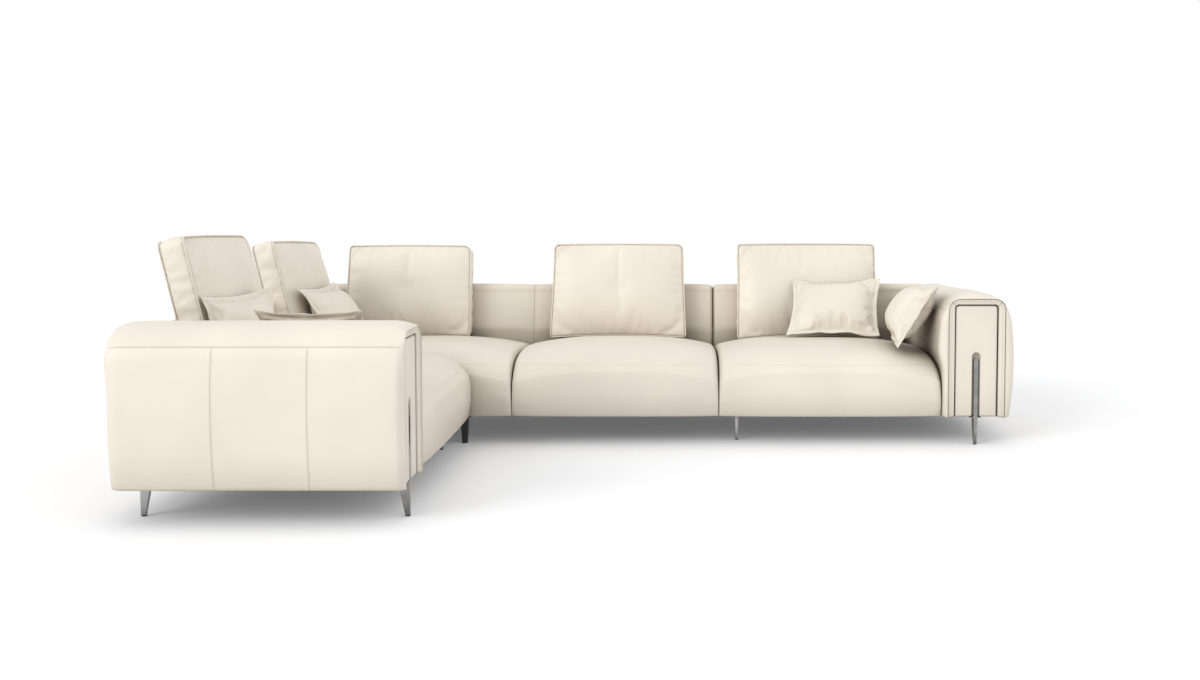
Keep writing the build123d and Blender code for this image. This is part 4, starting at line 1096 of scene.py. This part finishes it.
def piping(name, loop, outward, body):
    """A cord along a closed loop of points."""
    ahead = unit(np.roll(loop, -1, 0) - np.roll(loop, 1, 0))
    out = unit(across_part(outward, ahead))
    side = np.cross(ahead, out)
    rings = []
    for k in range(PIPING_SIDES):
        turn = TURN * k / PIPING_SIDES
        rings.append(loop + PIPING_RADIUS * (math.cos(turn) * out + math.sin(turn) * side))
    points = np.array(rings).transpose(1, 0, 2).reshape(-1, 3)
    ids = np.arange(len(points)).reshape(-1, PIPING_SIDES)
    made = mesh_object(name, points, bridges(np.concatenate((ids, ids[:1]))))
    paint_seams_and_shade(made, np.zeros(len(points)))
    dress(made, body, LESS_SHADED_HIDE)


# Back cushions


CUSHION_LEAN = 13
BOXING, BOXING_STRIPS, BOXING_CROWN = 0.095, 8, 0.006
FOOT_CORNER = 0.018
CUSHION_CELL = 0.0125
CUSHION_CROWN = 0.034
SEAM_WEIGHT, PINCH_WEIGHT, BUTTON_WEIGHT = 1.0, 0.55, 0.97
CUSHION_AIR = {"pressure": 5.0, "slack": 0.022, "cap": 0.030, "bending": 0.5}
REST_HEIGHT, REST_RISE, REST_SWELL = 0.245, 0.12, 0.012
STITCH_SHARE = 0.62


def back_cushion(name, origin, facing, width, height, pinch, corners, settle, slump):
    """A box cushion: two panels and a boxing strip, blown up between its seams."""
    body = f"{name}_body"
    place = leaning(origin, facing, CUSHION_LEAN)
    nx, nz = int(width / CUSHION_CELL) | 1, int(height / CUSHION_CELL) | 1
    half = width / 2
    gx, gz = np.meshgrid(np.linspace(-half, half, nx), np.linspace(0, height, nz))
    x, z = round_corners(gx, gz, half, 0, height, *corners, FOOT_CORNER)
    s, t = x / half, 2 * z / height - 1
    crown = (1 - s ** 2) * (1 - t ** 2)
    up = z / height
    near_lift, far_drop, far_pull, taper = slump
    z = z - 0.003 * s ** 2 * up + up * (near_lift * (1 - s) / 2 - far_drop * (1 + s) / 2)
    x = x - far_pull * smooth((1 + s) / 2) * up ** 1.5
    sag = (settle[0] + settle[1] * s ** 2) * (1 - up) ** 3
    x = x * (1 - 0.008 * (1 - t ** 2)) * (1 - taper * up)
    front_y = -BOXING - CUSHION_CROWN * crown ** 0.75
    front = stack(x.ravel(), front_y.ravel(), (z - sag).ravel())
    rear = stack(0.985 * x.ravel(), -0.0005, z.ravel())
    ids, rear_ids, faces = two_sheets(nz, nx)
    rim_front, rim_rear = rim_of(ids), rim_of(rear_ids)
    rim_count = len(rim_front)
    sheets = np.concatenate((front, rear))
    points, rows = [sheets], [rim_front]
    for k in range(1, BOXING_STRIPS):
        share = k / BOXING_STRIPS
        ring = sheets[rim_front] * (1 - share) + sheets[rim_rear] * share
        near_top = smooth((ring[:, 2] - height * 0.8) / (height * 0.2))
        ring[:, 2] += BOXING_CROWN * math.sin(math.pi * share) * near_top
        rows.append(np.arange(rim_count) + len(sheets) + (k - 1) * rim_count)
        points.append(ring)
    rows.append(rim_rear)
    piece = mesh_object(f"{name}_leather", place(np.concatenate(points)), faces + bridges(rows))
    pins = [(SEAM_WEIGHT, rim_front), (SEAM_WEIGHT, rim_rear)]
    pinch_line = ids[nz // 2:-1, nx // 2] if pinch else []
    if pinch:
        centre = ids[nz // 2, nx // 2]
        pins.append((PINCH_WEIGHT, pinch_line))
        pins.append((BUTTON_WEIGHT, [centre - 1, centre, centre + 1, centre + nx, centre - nx]))
    inflate(piece, pins, **CUSHION_AIR)
    moved = place.local(points_of(piece))
    limit = REST_SWELL * smooth((moved[:, 2] - REST_HEIGHT) / REST_RISE)
    moved[:, 1] = np.minimum(moved[:, 1], limit - 0.0004)
    floor_level = -np.interp(-moved[:, 1], (0, BOXING), (0, sum(settle)))
    moved[:, 2] = np.maximum(moved[:, 2], floor_level)
    set_points(piece, place(moved))
    seam_share = np.zeros(len(moved))
    seam_share[rim_front] = seam_share[rim_rear] = 1
    seam_share[pinch_line] = 0.5
    paint_seams_and_shade(piece, 0.03 * seam_share)
    subdivide(piece)
    dress(piece, body, LESS_SHADED_HIDE, name, fill=0.75)
    final = points_of(piece)
    stitch_rows = []
    for label, rim, next_ring in (("front", rim_front, rows[1]), ("rear", rim_rear, rows[-2])):
        loop = final[rim]
        boxing_way = unit(loop - final[next_ring])
        outward = unit(unit(across_part(loop - final.mean(0), boxing_way)) + boxing_way)
        piping(f"{name}_{label}_piping", loop + outward * PIPING_OUT, outward, body)
        stitch_rows.append(loop + (final[next_ring] - loop) * STITCH_SHARE)
        if label == "front":
            inner = rim_of(ids[1:-1, 1:-1])
            beside = np.concatenate((ids[0, 1:-1], ids[2:-1, -1], ids[-1, -3:0:-1], ids[-3:1:-1, 0]))
            stitch_rows.append(final[inner] * STITCH_SHARE + (1 - STITCH_SHARE) * final[beside])
    stitches(f"{name}_stitching", piece, body, stitch_rows)


BASE, RETURN_BASE = 0.4012, 0.3942
BEHIND, RETURN_BEHIND = 0.13285, 0.1345

# Name, middle of the foot, facing, width, height, whether its middle is pinched, radii of the two
# upper corners, settling of the front foot (all along, more at the sides), and slump (near corner's
# lift, far corner's drop, far side's pull, taper)
cushions = (
    ("left_back_cushion", (LEFT_X + BEHIND, -0.410, BASE), 0, 0.664, 0.558, False,
     (0.024, 0.060), (0.016, 0.004), (0.0, 0.018, 0.045, 0)),
    ("return_back_cushion", (LEFT_X + RETURN_BEHIND, 0.498, RETURN_BASE), 0, 0.660, 0.499, False,
     (0.024, 0.060), (0.010, 0.004), (0.012, 0.016, 0.040, 0)),
    ("corner_back_cushion", (-1.181, REAR_Y - BEHIND, BASE), -90, 0.646, 0.448, True,
     (0.020, 0.036), (0.018, 0.008), (0, 0, 0, 0.03)),
    ("middle_back_cushion", (-0.100, REAR_Y - BEHIND, BASE), -90, 0.693, 0.455, True,
     (0.026, 0.028), (0.018, 0.012), (0, 0, 0, 0.045)),
    ("right_back_cushion", (0.871, REAR_Y - BEHIND, BASE), -90, 0.716, 0.456, False,
     (0.018, 0.022), (0.018, 0.024), (0, 0, 0, 0.012)),
)
for cushion in cushions:
    back_cushion(*cushion)


# Throw pillows


FLANGE, FLANGE_WAVE, FLANGE_STRIPS, FLANGE_THICK = 0.014, 0.017, 6, 0.0021
DRAW = 0.020
PILLOW_CELL = 0.0095
PILLOW_LEAST = 0.0018
SIM_START, QUICK_START = 0.85, 1.1
PILLOW_AIR = {"pressure": 6.0, "slack": 0.06, "bending": 0.25}


def pillow(name, origin, facing, tilt, width, height, swell, back_swell, skew, seed):
    """Two faces sewn inside a flat flange whose sides draw in between its corners."""
    body = f"{name}_body"
    place = leaning(origin, facing, tilt)
    half, margin = width / 2, DRAW * 0.4
    inner_half, low, high = half - FLANGE - margin, FLANGE + margin, height - FLANGE - margin
    nx, nz = int(2 * inner_half / PILLOW_CELL) | 1, int((high - low) / PILLOW_CELL) | 1
    gx, gz = np.meshgrid(np.linspace(-1, 1, nx), np.linspace(-1, 1, nz))
    x = (gx * (inner_half - DRAW * (1 - gz ** 2) * np.abs(gx))).ravel()
    z = ((low + high) / 2 + gz * ((high - low) / 2 - DRAW * (1 - gx ** 2) * np.abs(gz))).ravel()
    lens = (np.clip((1 - gx ** 2) * (1 - gz ** 2), 0, 1) ** 0.43).ravel()
    full = SIM_START
    front = stack(x, -(PILLOW_LEAST + swell * full * lens), z)
    rear = stack(x, PILLOW_LEAST + back_swell * full * lens, z)
    ids, rear_ids, faces = two_sheets(nz, nx)
    rim_front, rim_rear = rim_of(ids), rim_of(rear_ids)
    rim = len(rim_front)
    core_x, core_z = x[rim_front], z[rim_front]
    u, w = gx.ravel()[rim_front], gz.ravel()[rim_front]
    edge_x = u * (half - DRAW * (1 - w ** 2) * np.abs(u) ** 3)
    edge_z = height / 2 + w * (height / 2 - DRAW * (1 - u ** 2) * np.abs(w) ** 3)
    wave = np.zeros(rim)
    for size, scale, shift in ((1, 9, 0), (0.5, 22, 4)):
        spots = zip(edge_x * scale, edge_z * scale)
        wave += size * np.array([noise.noise(Vector((a, b, seed + shift))) for a, b in spots])
    points = [front, rear]
    for sign in (-1, 1):
        for k in range(1, FLANGE_STRIPS + 1):
            share = k / FLANGE_STRIPS
            pad = FLANGE_THICK * (1 - 0.75 * max(0, share - 0.8) / 0.2)
            points.append(stack(
                core_x + share * (edge_x - core_x),
                sign * pad + FLANGE_WAVE * wave * share ** 1.3,
                core_z + share * (edge_z - core_z),
            ))
    points = np.concatenate(points)
    across, upward = points[:, 0] / half, 2 * points[:, 2] / height - 1
    points[:, 0] += skew[0] * upward
    points[:, 2] += skew[1] * across * (1 + upward) / 2
    points[:, 2] -= skew[2] * smooth(-across) * upward * height / 2
    flange = np.arange(2 * ids.size, len(points))
    front_strips, rear_strips = flange.reshape(2, FLANGE_STRIPS, rim)
    faces += bridges([rim_front, *front_strips]) + bridges([rim_rear, *rear_strips])
    faces += bridge(front_strips[-1], rear_strips[-1])
    piece = mesh_object(f"{name}_leather", place(points), faces)
    pins = [(SEAM_WEIGHT, flange), (SEAM_WEIGHT, rim_front), (SEAM_WEIGHT, rim_rear)]
    inflate(piece, pins, cap=back_swell * 0.55, **PILLOW_AIR)
    seam_share = np.zeros(len(points))
    seam_share[rim_front] = seam_share[rim_rear] = 0.6
    paint_seams_and_shade(piece, 0.12 * seam_share)
    subdivide(piece)
    dress(piece, body, LESS_SHADED_HIDE, name, fill=0.7)
    final = points_of(piece)
    rows = []
    for start, first in ((rim_front, front_strips[0]), (rim_rear, rear_strips[0])):
        loop = final[start] * 0.4 + final[first] * 0.6
        rows.append(np.concatenate((loop, loop[:1])))
    stitches(f"{name}_stitching", piece, body, rows)


# Name, middle of the foot, facing, tilt, width, height, swell of the front and the back,
# skew (sideways, up, left side's fan) and seed
pillows = (
    ("left_rear_pillow", (LEFT_X + 0.318, JOINT_Y - 0.723, 0.4295), -13, 17,
     0.440, 0.336, 0.046, 0.035, (0, 0, 0), 1.0),
    ("left_arm_pillow", (LEFT_X + 0.575, JOINT_Y - 0.740, 0.4370), 90, 40,
     0.400, 0.345, 0.055, 0.045, (0, 0, 0), 2.0),
    ("return_pillow", (LEFT_X + 0.419, JOINT_Y + 0.236, 0.4347), -4, 35,
     0.450, 0.325, 0.060, 0.050, (0, 0, 0), 3.0),
    ("right_rear_pillow", (JOINT_X + 0.593, REAR_Y - 0.534, 0.4364), -92, 51,
     0.456, 0.400, 0.062, 0.050, (0.024, 0.010, 0), 4.0),
    ("right_arm_pillow", (JOINT_X + 0.801, JOINT_Y + 0.235, 0.4303), 180, 35,
     0.360, 0.340, 0.100, 0.055, (0, 0, 0.30), 5.0),
)
for entry in pillows:
    pillow(*entry)


# Floor, light and camera


AMBIENT = 0.75
KEY, KEY_SPREAD, KEY_WAY, KEY_COLOUR = 1.34, 36, (0.68, 0.60, -0.38), (1.0, 0.99, 0.975)
FILL, FILL_SPREAD, FILL_WAY, FILL_COLOUR = 0.64, 75, (-0.90, 0.22, -0.38), (1.0, 0.99, 0.98)
NEAR_PANEL, NEAR_PANEL_SIZE = 2.8, 1.5
NEAR_PANEL_AT, NEAR_PANEL_AIM = Vector((-1.9, -2.9, 1.9)), Vector((-1.2, -1.1, 0.5))
FLOOR_HALF, FLOOR_BOUNCE, FLOOR_GLOW = 14.0, 0.72, 0.11
FLOOR_TONES = ((0.3, (0.93, 0.935, 0.95)), (0.7, (0.95, 0.955, 0.97)))
EYE, EYE_DOWN = (0.198, -4.969, 1.108), 0.052
SENSOR, LENS, SHIFT_X, SHIFT_Y = 36, 34.725, -0.0635, -0.0686

studio = Tree(bpy.data.worlds.new("studio"))
scene.world = studio.owner
level = studio.node("MapRange", {
    "To Min": AMBIENT, "To Max": 1.0, "Value": studio.white_to_camera(),
})
studio.feed(studio.nodes["Background"], {"Strength": level.outputs["Result"], "Color": (1, 1, 1, 1)})

ground = Finish("studio_floor")
ground.nodes.remove(ground.shader)
soft = ground.node("BsdfDiffuse", {"Color": ground.ramp(ground.noise(scale=3.0), *FLOOR_TONES)})
glow = ground.node("Emission", {"Strength": FLOOR_GLOW})
both = ground.node("AddShader", {0: soft.outputs["BSDF"], 1: glow.outputs["Emission"]})
dim = ground.node("BsdfDiffuse", {"Color": (*grey(FLOOR_BOUNCE), 1)})
choose = ground.node("MixShader", {
    "Fac": ground.white_to_camera(), 1: dim.outputs["BSDF"], 2: both.outputs["Shader"],
})
ground.feed(ground.nodes["Material Output"], {"Surface": choose.outputs["Shader"]})
floor = mesh_object("studio_floor", np.array((
    (-FLOOR_HALF, -FLOOR_HALF, 0), (FLOOR_HALF, -FLOOR_HALF, 0),
    (FLOOR_HALF, FLOOR_HALF, 0), (-FLOOR_HALF, FLOOR_HALF, 0),
)), [(0, 1, 2, 3)])
floor.data.materials.append(ground.owner)


def lamp(name, kind, strength, way, **settings):
    """A light that shines along a way."""
    light = bpy.data.lights.new(name, kind)
    light.energy = strength
    for setting, value in settings.items():
        setattr(light, setting, value)
    made = add(name, light)
    made.rotation_euler = Vector(way).to_track_quat("-Z", "Y").to_euler()
    return made


lamp("key", "SUN", KEY, KEY_WAY, angle=math.radians(KEY_SPREAD), color=KEY_COLOUR)
lamp("fill", "SUN", FILL, FILL_WAY, angle=math.radians(FILL_SPREAD), color=FILL_COLOUR)
near_panel = lamp("near_panel", "AREA", NEAR_PANEL, NEAR_PANEL_AIM - NEAR_PANEL_AT, size=NEAR_PANEL_SIZE)
near_panel.location = NEAR_PANEL_AT

eye = bpy.data.cameras.new("camera")
eye.sensor_fit = "HORIZONTAL"
eye.sensor_width = SENSOR
eye.lens = LENS
eye.shift_x = SHIFT_X
eye.shift_y = SHIFT_Y
camera = add("camera", eye)
camera.location = EYE
camera.rotation_euler = (QUARTER - EYE_DOWN, 0, 0)
scene.camera = camera
scene.view_settings.view_transform = "Standard"
